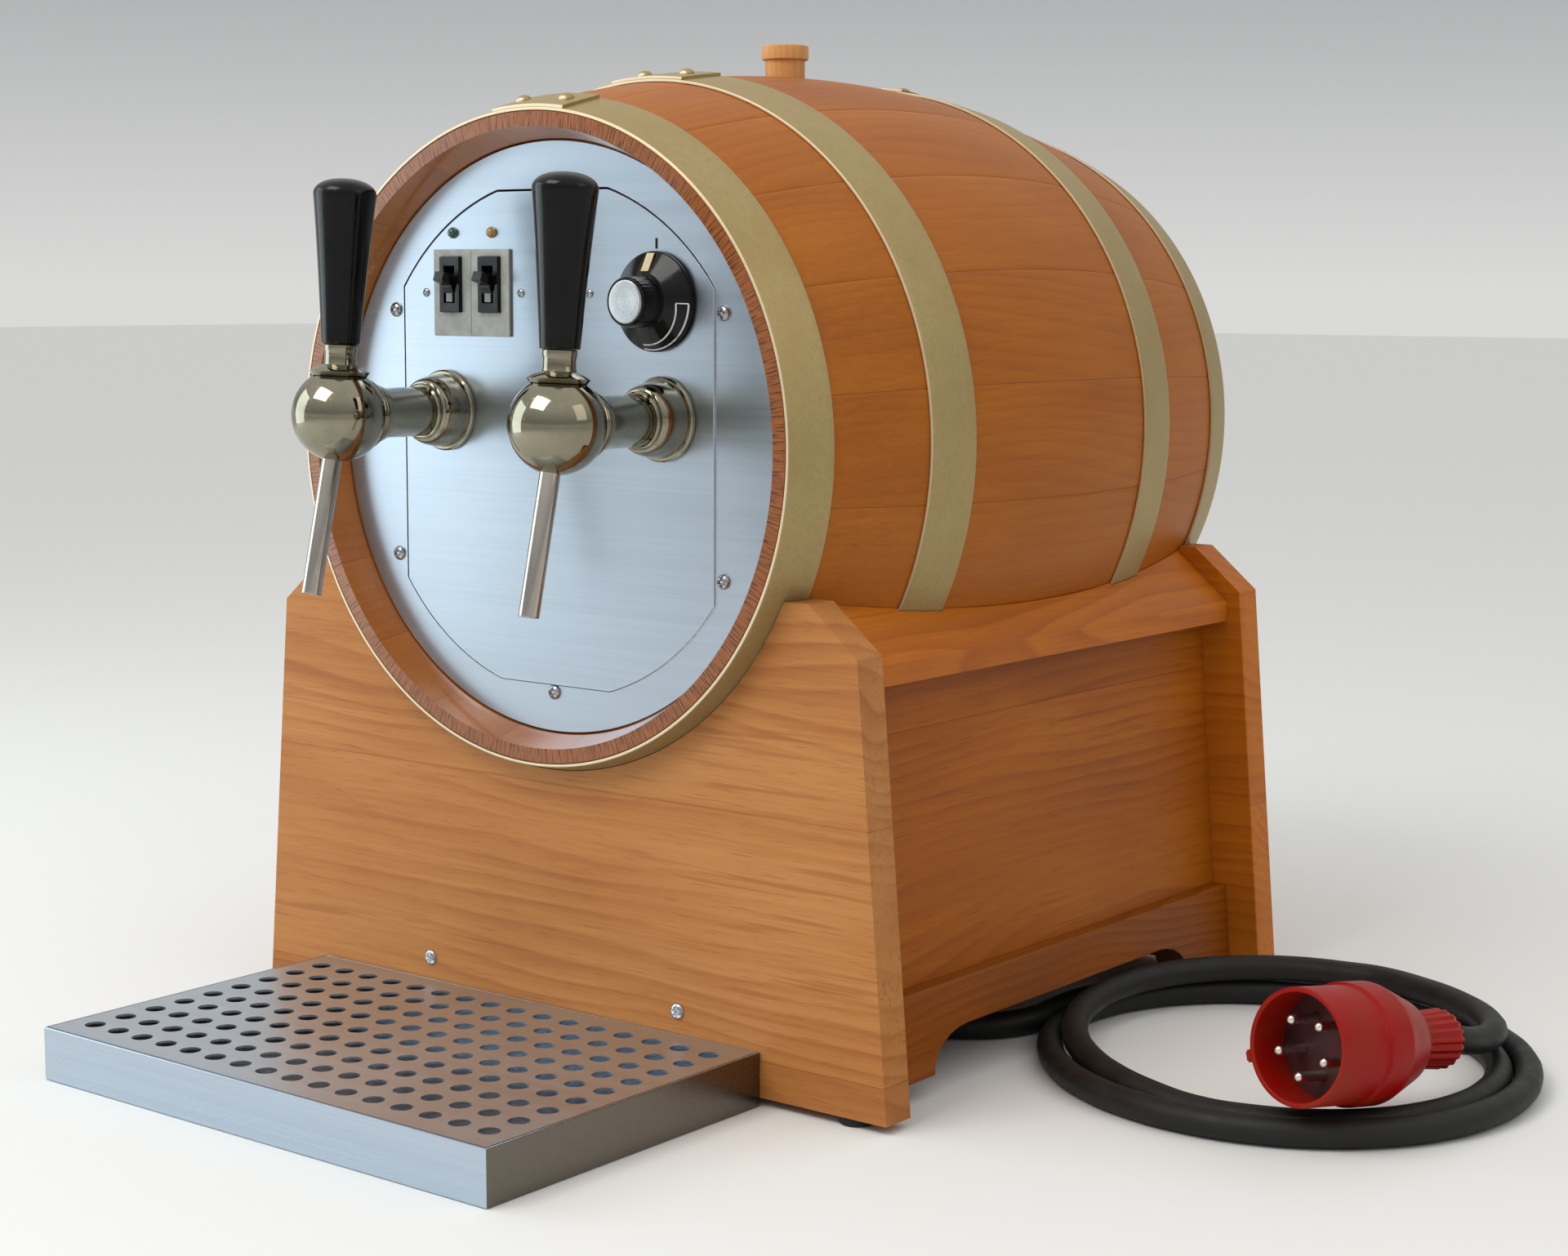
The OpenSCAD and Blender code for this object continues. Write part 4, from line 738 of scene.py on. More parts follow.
# the mains lead comes first among the pieces: one smooth curve along the route
leadLay = Sizes(
    diameter=0.014, length=2.17, middleShift=0.110325, start=(0.0, 0.146, 0.09727),
    # points of the first and the last stretch in millimetres
    lead=[
        (0, 146, 82), (6, 146, 53), (22, 146, 29), (46, 146, 13), (75, 146, 7), (97, 146, 7), (118, 147.5, 7),
        (138, 153.5, 7), (154.5, 163.5, 7), (167, 178, 7),
    ],
    tail=[(336.3, 329, 22), (364.2, 314.2, 22), (387.7, 292.6, 22), (400.4, 268.5, 23.3), (403.1, 240.8, 26.2)],
    coilMiddle=(0.306, 0.219), coilHalf=(0.130, 0.142), coilTurned=42.0, coilStart=143.0, coilTurns=2.25,
    climbFrom=1.75, pitch=0.0148, layer=0.0147, ringsPerTurn=24, nudge=0.01, smoothness=6,
    plugFace=(0.376, 0.102, 0.049), plugDip=8.0, plugHeading=78.0, plugLength=0.114,
)
dip, heading = math.radians(leadLay.plugDip), math.radians(leadLay.plugHeading)
plugAxis = Vector((math.cos(dip) * math.cos(heading), math.cos(dip) * math.sin(heading), -math.sin(dip)))
toRow = Vector((0, -leadLay.middleShift, 0))
plugFace = Vector(leadLay.plugFace) + toRow


def coilPoint(n):
    s = leadLay
    rise = math.radians(max(0.0, n - s.climbFrom) * 180)
    shrink = s.pitch * (n - 1 + math.cos(rise))
    angle, turned = math.radians(s.coilStart - 360 * n), math.radians(s.coilTurned)
    u, v = (s.coilHalf[0] - shrink) * math.cos(angle), (s.coilHalf[1] - shrink) * math.sin(angle)
    return Vector((
        s.coilMiddle[0] + u * math.cos(turned) - v * math.sin(turned),
        s.coilMiddle[1] + u * math.sin(turned) + v * math.cos(turned),
        s.diameter / 2 + s.layer * math.sin(rise),
    ))


def leadPoints():
    s = leadLay
    lead, tail = [[Vector(point) / 1000 for point in stretch] for stretch in (s.lead, s.tail)]
    wayIn = (coilPoint(s.nudge) - coilPoint(0)).normalized()
    wayOut = coilPoint(s.coilTurns) - coilPoint(s.coilTurns - s.nudge)
    wayOut = Vector((wayOut.x, wayOut.y, 0)).normalized()
    coil = [coilPoint(i / s.ringsPerTurn) for i in range(int(s.coilTurns * s.ringsPerTurn) + 1)]
    coil = [coil[0] - wayIn * s.diameter, *coil, coil[-1] + wayOut * s.diameter]
    bootEnd = Vector(s.plugFace) + plugAxis * s.plugLength
    return [point + toRow for point in [Vector(s.start), *lead, *coil, *tail, bootEnd]]


def makeLead():
    points = leadPoints()
    data = bpy.data.curves.new("mainsLead", "CURVE")
    data.dimensions = "3D"
    spline = data.splines.new("BEZIER")
    spline.bezier_points.add(len(points) - 1)
    for bezier, point in zip(spline.bezier_points, points):
        bezier.co = point
        bezier.handle_left_type = bezier.handle_right_type = "AUTO"
    data.bevel_depth = leadLay.diameter / 2
    data.bevel_resolution = data.resolution_u = leadLay.smoothness
    data.use_fill_caps = True
    data.materials.append(finishes["black_rubber"])
    return standFor("mainsLead", data, "cord_lead", "cord_coil", "cord_tail")


mainsLead = makeLead()
print("mains lead laid")

# plug: shroud, grip and fluted cable nut in one red moulding
plugSizes = Sizes(
    radius=0.028, wall=0.0025, shroud=0.034, collar=0.0295, collarLength=0.016, collarStep=0.0015, grip=0.021,
    boot=0.015, bootLength=0.034, neck=0.0026, neckLength=0.004, cord=0.007, ease=0.0007, steps=160, sharp=40,
    nutStart=0.0012, nutRound=0.005, nutEdge=(0.0022, 0.0012), nutMouth=0.003, nutSteps=8,
    flutes=20, fluteDepth=0.0011, fluteFrom=0.001, fluteAbove=0.004,
    keyWidth=0.006, keyRise=0.003, keyTurn=20.0, keyEase=0.0008,
)


def makePlug():
    s, end = plugSizes, leadLay.plugLength
    bootFrom, nutEnd = end - s.bootLength, end - s.nutRound
    nutFrom = bootFrom + s.neckLength
    waist, bore = s.boot - s.neck, s.radius - s.wall
    place = aimed(plugFace, plugAxis, plugAxis.cross(Vector((0, 0, 1))))
    outline = [
        (0, s.shroud), (bore, s.shroud), (bore, 0), (s.radius, 0), (s.radius, s.shroud - s.collarStep),
        (s.collar, s.shroud), (s.collar, s.shroud + s.collarLength), (s.grip, bootFrom - s.bootLength / 6),
        (waist, bootFrom), (waist, nutFrom),
    ]
    outline += evenly(s.nutSteps, lambda k: (
        waist + s.nutStart + (s.neck - s.nutStart) * k, nutFrom + (nutEnd - nutFrom) * k
    ))
    outline += [(s.boot - s.nutEdge[0], end - s.nutEdge[1]), (s.cord + s.nutMouth, end), (0, end)]

    def fluted(radius, height, angle):
        # finger flutes run along the nut
        if nutFrom + s.fluteFrom < height < end - s.fluteFrom and radius > s.cord + s.fluteAbove:
            return radius - ripple(s.fluteDepth, s.flutes, angle)
        return radius

    outline = soften(outline, s.ease)
    body = turnedPiece("plugMoulding", outline, place, s.steps, s.sharp, "plug_body", shape=fluted)
    lowered = place @ Matrix.Rotation(math.radians(-s.keyTurn), 4, "Z")
    middle = Matrix.Translation((s.wall / 4 - s.radius - s.keyRise / 2, 0, s.shroud / 2))
    size = (s.keyRise + s.wall / 2, s.keyWidth, s.shroud)
    return [body, makeBlock("plugKey", lowered @ middle, size, s.keyEase, "red_plastic")]


plugPieces = makePlug()
print("plug made")

# node trees that build what repeats; their inputs have the names of the sizes
geometry = {"Geometry": ["geometry"]}


def endTree(tree, out, shape, material):
    real = put(tree, "GeometryNodeRealizeInstances", {"Geometry": shape})
    return closeTree(tree, out, {
        "geometry": put(tree, "GeometryNodeSetMaterial", {"Geometry": real, "Material": material})
    })


def runTree(name, tree, values, base=None):
    holder = linked(name + "Source", base or bpy.data.meshes.new(name + "Base"))
    modifier = holder.modifiers.new("build", "NODES")
    modifier.node_group = tree
    for item in tree.interface.items_tree:
        if item.in_out == "INPUT" and item.name in values:
            modifier[item.identifier] = values[item.name]
    return baked(holder, name)


def makeStaveTree():
    # one stave is a block bent to the barrel's curve, then set round the axis
    tree, given, out = newTree("coopersStaves", "Geometry", {
        **geometry, "Int": ["count", "seed"], "Vector": ["front"], "Material": ["wood"],
        "Float": ["length", "endRadius", "bilgeRadius", "thickness", "chime", "bevel", "joint", "ease", "endEase"],
    }, geometry)
    steps = {"Size": (2, 1, 1), "Vertices X": 15, "Vertices Y": 73, "Vertices Z": 2}
    easedFrom = 0.62  # share of the half width where its edge starts to drop
    block = put(tree, "GeometryNodeMeshCube", steps)
    x, y, z = put(tree, "GeometryNodeInputPosition").parts()
    away = x.math("ABSOLUTE")
    # points crowd towards the joints and the ends, where the edges are eased
    across = (1.0 - (1.0 - away).math("POWER", 2.0)) * x.math("SIGN")
    wave = ((y + 0.5) * math.pi).math("COSINE")
    along = (wave * -0.5 + 0.5) * given.length
    outer = (given.bilgeRadius - given.endRadius) * (1.0 - wave * wave) + given.endRadius
    toEnd = along.math("MINIMUM", given.length - along)
    full = toEnd.math("DIVIDE", given.bevel, clamp=True)
    thick = (given.thickness - given.chime) * full + given.chime
    depth = 0.5 - z
    sideDrop = away.spread(easedFrom, 1.0, kind="LINEAR").math("POWER", 3.0)
    endDrop = (1.0 - toEnd.math("DIVIDE", given.endEase, clamp=True)).math("POWER", 2.0)
    drop = sideDrop.math("MAXIMUM", endDrop) * given.ease * (1.0 - depth)
    radius = outer - drop - thick * depth
    half = math.pi / given.count
    angle = across * (half - given.joint * 0.5 / radius)
    bent = joined(tree, radius * angle.math("SINE"), along, radius * angle.math("COSINE"))
    space = joined(tree, angle * given.bilgeRadius, along, radius - given.bilgeRadius)
    kept = put(
        tree, "GeometryNodeStoreNamedAttribute", {"Geometry": block, "Name": "grainSpace", "Value": space},
        data_type="FLOAT_VECTOR", domain="POINT",
    )
    stave = put(tree, "GeometryNodeSetPosition", {"Geometry": kept, "Position": bent})
    index = put(tree, "GeometryNodeInputIndex")
    points = put(tree, "GeometryNodePoints", {"Count": given.count})
    turn = joined(tree, 0.0, index * 2.0 * half)
    ring = put(tree, "GeometryNodeInstanceOnPoints", {"Points": points, "Instance": stave, "Rotation": turn})
    chance = put(tree, "FunctionNodeRandomValue", {"ID": index, "Seed": given.seed}, data_type="FLOAT").at(1)
    toned = put(
        tree, "GeometryNodeStoreNamedAttribute", {"Geometry": ring, "Name": "staveTone", "Value": chance},
        data_type="FLOAT", domain="INSTANCE",
    )
    placed = put(tree, "GeometryNodeTransform", {"Geometry": toned, "Translation": given.front})
    return endTree(tree, out, placed, given.wood)


def makeGridTree():
    # a sheet outline and a field of circles are filled as one face, then given their thickness
    tree, given, out = newTree("perforatedSheet", "Geometry", {
        **geometry, "Float": ["width", "depth", "thickness", "pitch", "rowPitch", "hole"],
        "Int": ["columns", "rows"], "Vector": ["place"], "Material": ["metal"],
    }, geometry)

    def together(*shapes):
        join = put(tree, "GeometryNodeJoinGeometry")
        for shape in shapes:
            feed(tree, join.socket.node.inputs[0], shape)
        return join

    edge = put(tree, "GeometryNodeCurvePrimitiveQuadrilateral", {"Width": given.width, "Height": given.depth})
    hole = put(tree, "GeometryNodeCurvePrimitiveCircle", {"Resolution": 40, "Radius": given.hole})
    spots = put(tree, "GeometryNodeMeshGrid", {
        "Size X": given.pitch * (given.columns - 1.0), "Size Y": given.rowPitch * (given.rows - 1.0),
        "Vertices X": given.columns, "Vertices Y": given.rows,
    })
    field = put(tree, "GeometryNodeInstanceOnPoints", {"Points": spots, "Instance": hole})
    field = put(tree, "GeometryNodeRealizeInstances", {"Geometry": field})
    sheet = put(tree, "GeometryNodeFillCurve", {"Curve": together(edge, field)})
    raising = {"Mesh": sheet, "Offset Scale": given.thickness, "Individual": False}
    shell = together(put(tree, "GeometryNodeExtrudeMesh", raising), put(tree, "GeometryNodeFlipFaces", {"Mesh": sheet}))
    closed = put(tree, "GeometryNodeMergeByDistance", {"Geometry": shell, "Distance": welding.sheet})
    placed = put(tree, "GeometryNodeTransform", {"Geometry": closed, "Translation": given.place})
    return endTree(tree, out, placed, given.metal)


def makeHeadTree():
    # a domed head with a cross recess on each point, turned to the point's aim
    tree, given, out = newTree("domedHeads", "Geometry", {
        **geometry, "Float": ["radius", "height", "recess", "slot", "reach"], "Material": ["metal"],
    }, geometry)
    steps = {"Size X": 1.0, "Size Y": 1.0, "Vertices X": 21, "Vertices Y": 49}
    sheet = put(tree, "GeometryNodeMeshGrid", steps)
    across, around, _ = put(tree, "GeometryNodeInputPosition").parts()
    share, angle = across + 0.5, (around + 0.5) * (2 * math.pi)
    # the dome takes the first share of the steps, and the rest close the underside
    domeShare, recessShare, steepness = 0.9, 0.85, 2.5
    bow = share.math("DIVIDE", domeShare, clamp=True) * (math.pi / 2)
    radius = bow.math("SINE") * given.radius * share.spread(domeShare, 1.0, 1.0, 0.0, "LINEAR")
    x, y = radius * angle.math("COSINE"), radius * angle.math("SINE")

    def arm(wide, long):
        near = 1.0 - wide.math("ABSOLUTE").math("DIVIDE", given.slot, clamp=True)
        return near.math("MULTIPLY", steepness, clamp=True) * long.math("ABSOLUTE").math("LESS_THAN", given.reach)

    cross = arm(x, y).math("MAXIMUM", arm(y, x))
    height = bow.math("COSINE") * given.height - cross * given.recess * share.math("LESS_THAN", recessShare)
    domed = put(tree, "GeometryNodeSetPosition", {"Geometry": sheet, "Position": joined(tree, x, y, height)})
    head = put(tree, "GeometryNodeMergeByDistance", {"Geometry": domed, "Distance": welding.close})
    aim = put(tree, "GeometryNodeInputNamedAttribute", {"Name": "aim"}, data_type="FLOAT_VECTOR")
    turn = put(tree, "FunctionNodeAlignRotationToVector", {"Vector": aim}, axis="Z")
    points = put(tree, "GeometryNodeMeshToPoints", {"Mesh": given.geometry})
    heads = put(tree, "GeometryNodeInstanceOnPoints", {"Points": points, "Instance": head, "Rotation": turn})
    return endTree(tree, out, heads, given.metal)


staveTree = makeStaveTree()
gridTree = makeGridTree()
headTree = makeHeadTree()


def turnOut(mesh):
    form = bmesh.new()
    form.from_mesh(mesh)
    bmesh.ops.recalc_face_normals(form, faces=form.faces)
    form.to_mesh(mesh)
    form.free()
    return mesh


def makeHeads(node, spots, aims, sizes):
    name, metal = camel(node), finishes[slotOf[node]]
    base = bpy.data.meshes.new(name + "Spots")
    base.from_pydata(spots, [], [])
    base.attributes.new("aim", "FLOAT_VECTOR", "POINT").data.foreach_set("vector", [v for aim in aims for v in aim])
    mesh = turnOut(runTree(name, headTree, {**sizes, "metal": metal}, base))
    return standFor(name, dressMesh(mesh, easing.headSharp, metal), node)


# barrel
barrel = Sizes(
    count=20, length=0.415, endRadius=0.1635, bilgeRadius=0.1915, axisHeight=0.320, thickness=0.018, chime=0.0075,
    bevel=0.0176, joint=0.00012, ease=0.0003, endEase=0.0018, seed=11, bungHole=0.0113, bungDepth=0.09,
    endGrain=0.004, endFacing=0.7, sharp=30, headEase=0.0008,
)
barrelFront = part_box("barrel_staves")[0].y
barrelMouth = Vector((0, barrelFront, barrel.axisHeight))


def woodRadius(along):
    bow = 1 - (2 * along / barrel.length - 1) ** 2
    return barrel.endRadius + (barrel.bilgeRadius - barrel.endRadius) * bow


def bungTop():
    middle = middleOf("bung")
    return Matrix.Translation((middle.x, middle.y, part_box("bung")[1].z))


def boreBungHole(mesh):
    form = bmesh.new()
    bmesh.ops.create_cone(
        form, cap_ends=True, segments=64, radius1=barrel.bungHole, radius2=barrel.bungHole, depth=barrel.bungDepth,
        matrix=bungTop(),
    )
    drill, holder = linked("bungDrill", meshOf("bungDrill", form)), linked("stavesSource", mesh)
    cut = holder.modifiers.new("bore", "BOOLEAN")
    cut.object, cut.operation, cut.solver = drill, "DIFFERENCE", "EXACT"
    bored = baked(holder, "staves")
    bpy.data.objects.remove(drill)
    return bored


def makeStaves():
    mesh = boreBungHole(runTree("staves", staveTree, {**barrel, "front": barrelMouth, "wood": others.staveWood}))
    dressMesh(mesh, barrel.sharp, others.staveWood, others.staveEnd, others.staveLip)
    for face in mesh.polygons:
        along = face.center.y - barrelFront
        atEnd = min(along, barrel.length - along) < barrel.endGrain
        inward = face.normal.x * face.center.x + face.normal.z * (face.center.z - barrel.axisHeight) < 0
        if atEnd and abs(face.normal.y) > barrel.endFacing:
            face.material_index = 1
        elif inward:
            face.material_index = 2
    standFor("staves", mesh, "barrel_staves")


makeStaves()
roundedCopy("rear_head", barrel.headEase)
print("barrel made")

# hoops: a flat band with a lapped end on top, held by two rivets
hoops = Sizes(
    thickness=0.0016, gap=0.00015, ease=0.0005, steps=180, lap=0.048, lapEdge=0.0004, lapSunk=0.0002, lapSteps=14,
    rivetPitch=0.029, bandSteps=6, sharp=30,
    # start and width of each band along the barrel
    chime_hoops=[(0.0, 0.027), (0.388, 0.027)],
    quarter_hoops=[(0.090, 0.032), (0.284, 0.032)],
    rivet=Sizes(radius=0.004, height=0.0026, recess=0.0, slot=0.001, reach=0.001),
)


def bandOutline(start, width, low, high):
    # the outline starts in the middle of the inner face, so that all its corners are eased
    stations = evenly(hoops.bandSteps, lambda k: start + width * k)
    inner = [(woodRadius(t) + low, t) for t in stations]
    outer = [(woodRadius(t) + high, t) for t in reversed(stations)]
    half = hoops.bandSteps // 2
    return soften([*inner[half:], *outer, *inner[:half + 1]], hoops.ease)[:-1]


def makeHoops(node):
    place = aimed(barrelMouth, (0, 1, 0))
    form = bmesh.new()
    low, high = hoops.gap, hoops.gap + hoops.thickness
    edge = hoops.lapEdge
    for start, width in hoops[node]:
        lathe(form, bandOutline(start, width, low, high), place, hoops.steps, loop=True)
        half = math.degrees(hoops.lap / 2 / woodRadius(start + width / 2))
        strip = bandOutline(start + edge, width - 2 * edge, high - hoops.lapSunk, high + hoops.thickness)
        lathe(form, strip, place, hoops.lapSteps, start=-90 - half, sweep=2 * half, loop=True)
    closePiece(camel(node), form, hoops.sharp, node)


def makeRivets():
    spots, aims = [], []
    for start, width in hoops.chime_hoops + hoops.quarter_hoops:
        along = start + width / 2
        radius = woodRadius(along) + hoops.gap + 2 * hoops.thickness
        slope = 4 * (barrel.bilgeRadius - barrel.endRadius) * (1 - 2 * along / barrel.length) / barrel.length
        for side in (-1, 1):
            turn = side * hoops.rivetPitch / 2 / radius
            out = Vector((math.sin(turn), 0, math.cos(turn)))
            spots.append(barrelMouth + Vector((0, along, 0)) + out * radius)
            aims.append((out - Vector((0, slope, 0))).normalized())
    makeHeads("hoop_rivets", spots, aims, hoops.rivet)


makeHoops("chime_hoops")
makeHoops("quarter_hoops")
makeRivets()
print("hoops and rivets made")

# bung: a turned plug with a wider cap
bungSizes = Sizes(radius=0.011, capRadius=0.013, capHeight=0.008, below=0.036, ease=0.0012, steps=72, sharp=32)


def makeBung():
    s = bungSizes
    outline = [
        (0, -s.below), (s.radius, -s.below), (s.radius, -s.capHeight), (s.capRadius, -s.capHeight),
        (s.capRadius, 0), (0, 0),
    ]
    turnedPiece("turnedBung", soften(outline, s.ease), bungTop(), s.steps, s.sharp, "bung")


makeBung()

# cradle
cradleEase = Sizes(board=0.0012, panel=0.0006, rail=0.001)
roundedCopy("front_board", cradleEase.board, others.frontWood)
roundedCopy("rear_board", cradleEase.board, others.rearWood)
for side in ("left", "right"):
    roundedCopy("side_panel_" + side, cradleEase.panel)
    roundedCopy("bottom_rail_" + side, cradleEase.rail, others.lowRailWood)
roundedCopy("top_rails", cradleEase.rail, others.railWood)
print("cradle made")

# front plate, panel and their screws
frontFit = Sizes(plateEase=0.00035, panelEase=0.0010, rim=0.0004, taller=0.0002, over=0.00095, down=0.0003)
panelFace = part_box("control_panel")[0].y


def closeToPlate(form):
    # the panel's rim sits over to the right and low in the plate's opening
    low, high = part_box("control_panel")
    middle, half = (low + high) / 2, (high - low) / 2
    reach = max(math.hypot(vert.co.x - middle.x, vert.co.z - middle.z) for vert in form.verts)
    for vert in form.verts:
        across, up = vert.co.x - middle.x, vert.co.z - middle.z
        outside = max(abs(across) - half.x, abs(up) - half.z, math.hypot(across, up) - reach)
        if outside > -frontFit.rim:
            vert.co.x += frontFit.over
            vert.co.z += up / half.z * frontFit.taller - frontFit.down


roundedCopy("front_plate", frontFit.plateEase)
roundedCopy("control_panel", frontFit.panelEase, segments=3, reshape=closeToPlate)
screwHeads = {
    "plate_screws": Sizes(radius=0.0039, height=0.0026, recess=0.0012, slot=0.0009, reach=0.0023),
    "panel_screws": Sizes(radius=0.0023, height=0.0014, recess=0.0006, slot=0.0005, reach=0.0013),
    "board_screws": Sizes(radius=0.0042, height=0.0022, recess=0.0004, slot=0.0009, reach=0.0024),
}
for node, sizes in screwHeads.items():
    spots = [((low.x + high.x) / 2, low.y + sizes.height, (low.z + high.z) / 2) for low, high in looseParts(node)]
    makeHeads(node, spots, [(0, -1, 0)] * len(spots), sizes)
print("plate, panel and screws made")

# switches and lamps
switchSizes = Sizes(ease=0.0004, toggleEase=0.0009)
switchMark = Sizes(width=0.0042, height=0.0046, down=0.0066, proud=0.0002, thick=0.0008, ease=0.0001)
frameSeam = Sizes(width=0.0004, short=0.002, proud=0.00012, thick=0.0006, ease=0.00008)
roundedCopy("switch_frame", switchSizes.ease)
roundedCopy("switch_bodies", switchSizes.ease)
for side in ("left", "right"):
    roundedCopy("toggle_" + side, switchSizes.toggleEase, segments=3)


def makeInlay(name, low, high, s, height, down=0.0):
    # a thin grey block in the middle of a front face, which lies proud of it
    middle = (low + high) / 2
    place = Matrix.Translation((middle.x, low.y - s.proud + s.thick / 2, middle.z - down))
    makeBlock(name, place, (s.width, s.thick, height), s.ease, "grey_plastic")


for i, (low, high) in enumerate(sorted(looseParts("switch_bodies"), key=lambda pair: pair[0].x)):
    makeInlay("switchMark" + str(i + 1), low, high, switchMark, switchMark.height, switchMark.down)
low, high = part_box("switch_frame")
makeInlay("frameSeam", low, high, frameSeam, high.z - low.z - frameSeam.short)

lampSizes = Sizes(
    rim=0.0029, rimRise=0.0010, rimEdge=0.0003, rimSide=0.7, lens=0.0025, rise=0.0022, sunk=-0.0002, foot=-0.004,
    steps=40, domeSteps=6, sharp=30,
)


def makeLamp(name, node):
    s, middle = lampSizes, middleOf(node)
    place = aimed((middle.x, panelFace, middle.z), (0, -1, 0))
    dome = evenly(s.domeSteps, lambda k: (
        s.lens * math.cos(k * math.pi / 2), s.rimRise + s.rise * math.sin(k * math.pi / 2)
    ))
    outline = [
        (0, s.foot), (s.lens, s.foot), (s.lens, s.sunk), (s.rim, s.sunk), (s.rim, s.rimRise * s.rimSide),
        (s.rim - s.rimEdge, s.rimRise), *dome[:-1], (0, dome[-1][1]),
    ]
    turnedPiece(name, outline, place, s.steps, s.sharp, node)


makeLamp("greenLamp", "lamp_green")
makeLamp("amberLamp", "lamp_amber")
print("switches and lamps made")

# thermostat knob, with the marks on its skirt and the tick above it
knobSizes = Sizes(
    skirt=0.0245, hub=0.01275, height=0.0235, lift=0.0008, rim=0.0028, cone=0.0095, coneEdge=0.0006, ease=0.0007,
    hubFoot=0.0015, hubTaper=0.0005, crown=0.0012, crownIn=0.0013, ribs=36, ribDepth=0.00022, ribFrom=0.001,
    steps=144, sharp=34, cap=0.01055, capRoom=0.0002, capSunk=0.0014, capEase=0.0002, capSteps=96, capSharp=30,
    # rim of the cap, and heights of its dished face at shares of its radius
    capEdge=(0.0006, 0.0003), capDish=((0.5, 0.00022), (0.0, 0.00018)),
    markFrom=93.0, markTo=192.0, markWide=0.00065, markThick=0.00012, markSunk=0.0001, markSteps=26,
    markInner=0.735, markWiden=0.135, markOuter=0.955, markSharp=40,
    tickUp=0.0282, tickWide=0.0013, tickHigh=0.0052, tickThick=0.0005, tickEase=0.0001,
)


def markBox(form, corners, place):
    # a thin patch between four (radius, angle) corners on the skirt's cone
    s = knobSizes
    lower, upper = [], []
    for radius, angle in corners:
        turn = math.radians(90 - angle)
        share = (s.skirt - radius) / (s.skirt - s.hub - s.coneEdge)
        height = s.rim + (s.cone - s.rim) * share
        for rank, rise in ((lower, -s.markSunk), (upper, s.markThick)):
            spot = Vector((radius * math.cos(turn), radius * math.sin(turn), height + rise))
            rank.append(form.verts.new(place @ spot))
    form.faces.new(upper)
    form.faces.new(list(reversed(lower)))
    for k in range(4):
        m = (k + 1) % 4
        form.faces.new((lower[k], lower[m], upper[m], upper[k]))


def markStrip(form, place, inner, widen=0.0):
    s = knobSizes
    half = s.markWide / 2
    line = evenly(s.markSteps, lambda k: (s.skirt * (inner + widen * k), s.markFrom + (s.markTo - s.markFrom) * k))
    for (first, start), (second, end) in zip(line, line[1:]):
        corners = [(first - half, start), (first + half, start), (second + half, end), (second - half, end)]
        markBox(form, corners, place)


def makeMarks(place):
    s = knobSizes
    form = bmesh.new()
    markStrip(form, place, s.markOuter)
    markStrip(form, place, s.markInner, s.markWiden)
    inner, outer, start = s.skirt * s.markInner, s.skirt * s.markOuter, s.markFrom
    before = start - math.degrees(s.markWide / outer)
    markBox(form, [(inner, before), (outer, before), (outer, start), (inner, start)], place)
    addPiece("knobMarks", closeMesh("knobMarks", form, s.markSharp, others.whiteMark), "knob", "cream_paint")


def makeKnob():
    s, middle = knobSizes, middleOf("thermostat_knob")
    place = aimed((middle.x, panelFace, middle.z), (0, -1, 0))
    seat, well = s.height - s.capSunk, s.cap + s.capRoom
    outline = [
        (0, s.lift), (s.skirt, s.lift), (s.skirt, s.rim), (s.hub + s.coneEdge, s.cone), (s.hub, s.cone + s.hubFoot),
        (s.hub - s.hubTaper, s.height - s.crown), (s.hub - s.crownIn, s.height), (well, s.height), (well, seat),
        (0, seat),
    ]

    def gripped(radius, height, angle):
        if s.cone + s.ribFrom < height < s.height - s.ribFrom and radius > s.cap + s.ribFrom:
            return radius - ripple(s.ribDepth, s.ribs, angle)
        return radius

    outline = soften(outline, s.ease)
    turnedPiece("turningKnob", outline, place, s.steps, s.sharp, "thermostat_knob", shape=gripped)
    cap = [
        (0, seat), (s.cap, seat), (s.cap, s.height), (s.cap - s.capEdge[0], s.height + s.capEdge[1]),
        *[(s.cap * share, s.height + rise) for share, rise in s.capDish],
    ]
    turnedPiece("knobFace", soften(cap, s.capEase), place, s.capSteps, s.capSharp, "knob_cap")
    makeMarks(place)
    tick = Matrix.Translation((middle.x, panelFace, middle.z + s.tickUp))
    makeBlock("panelTick", tick, (s.tickWide, s.tickThick, s.tickHigh), s.tickEase, "black_plastic")


makeKnob()
print("knob made")

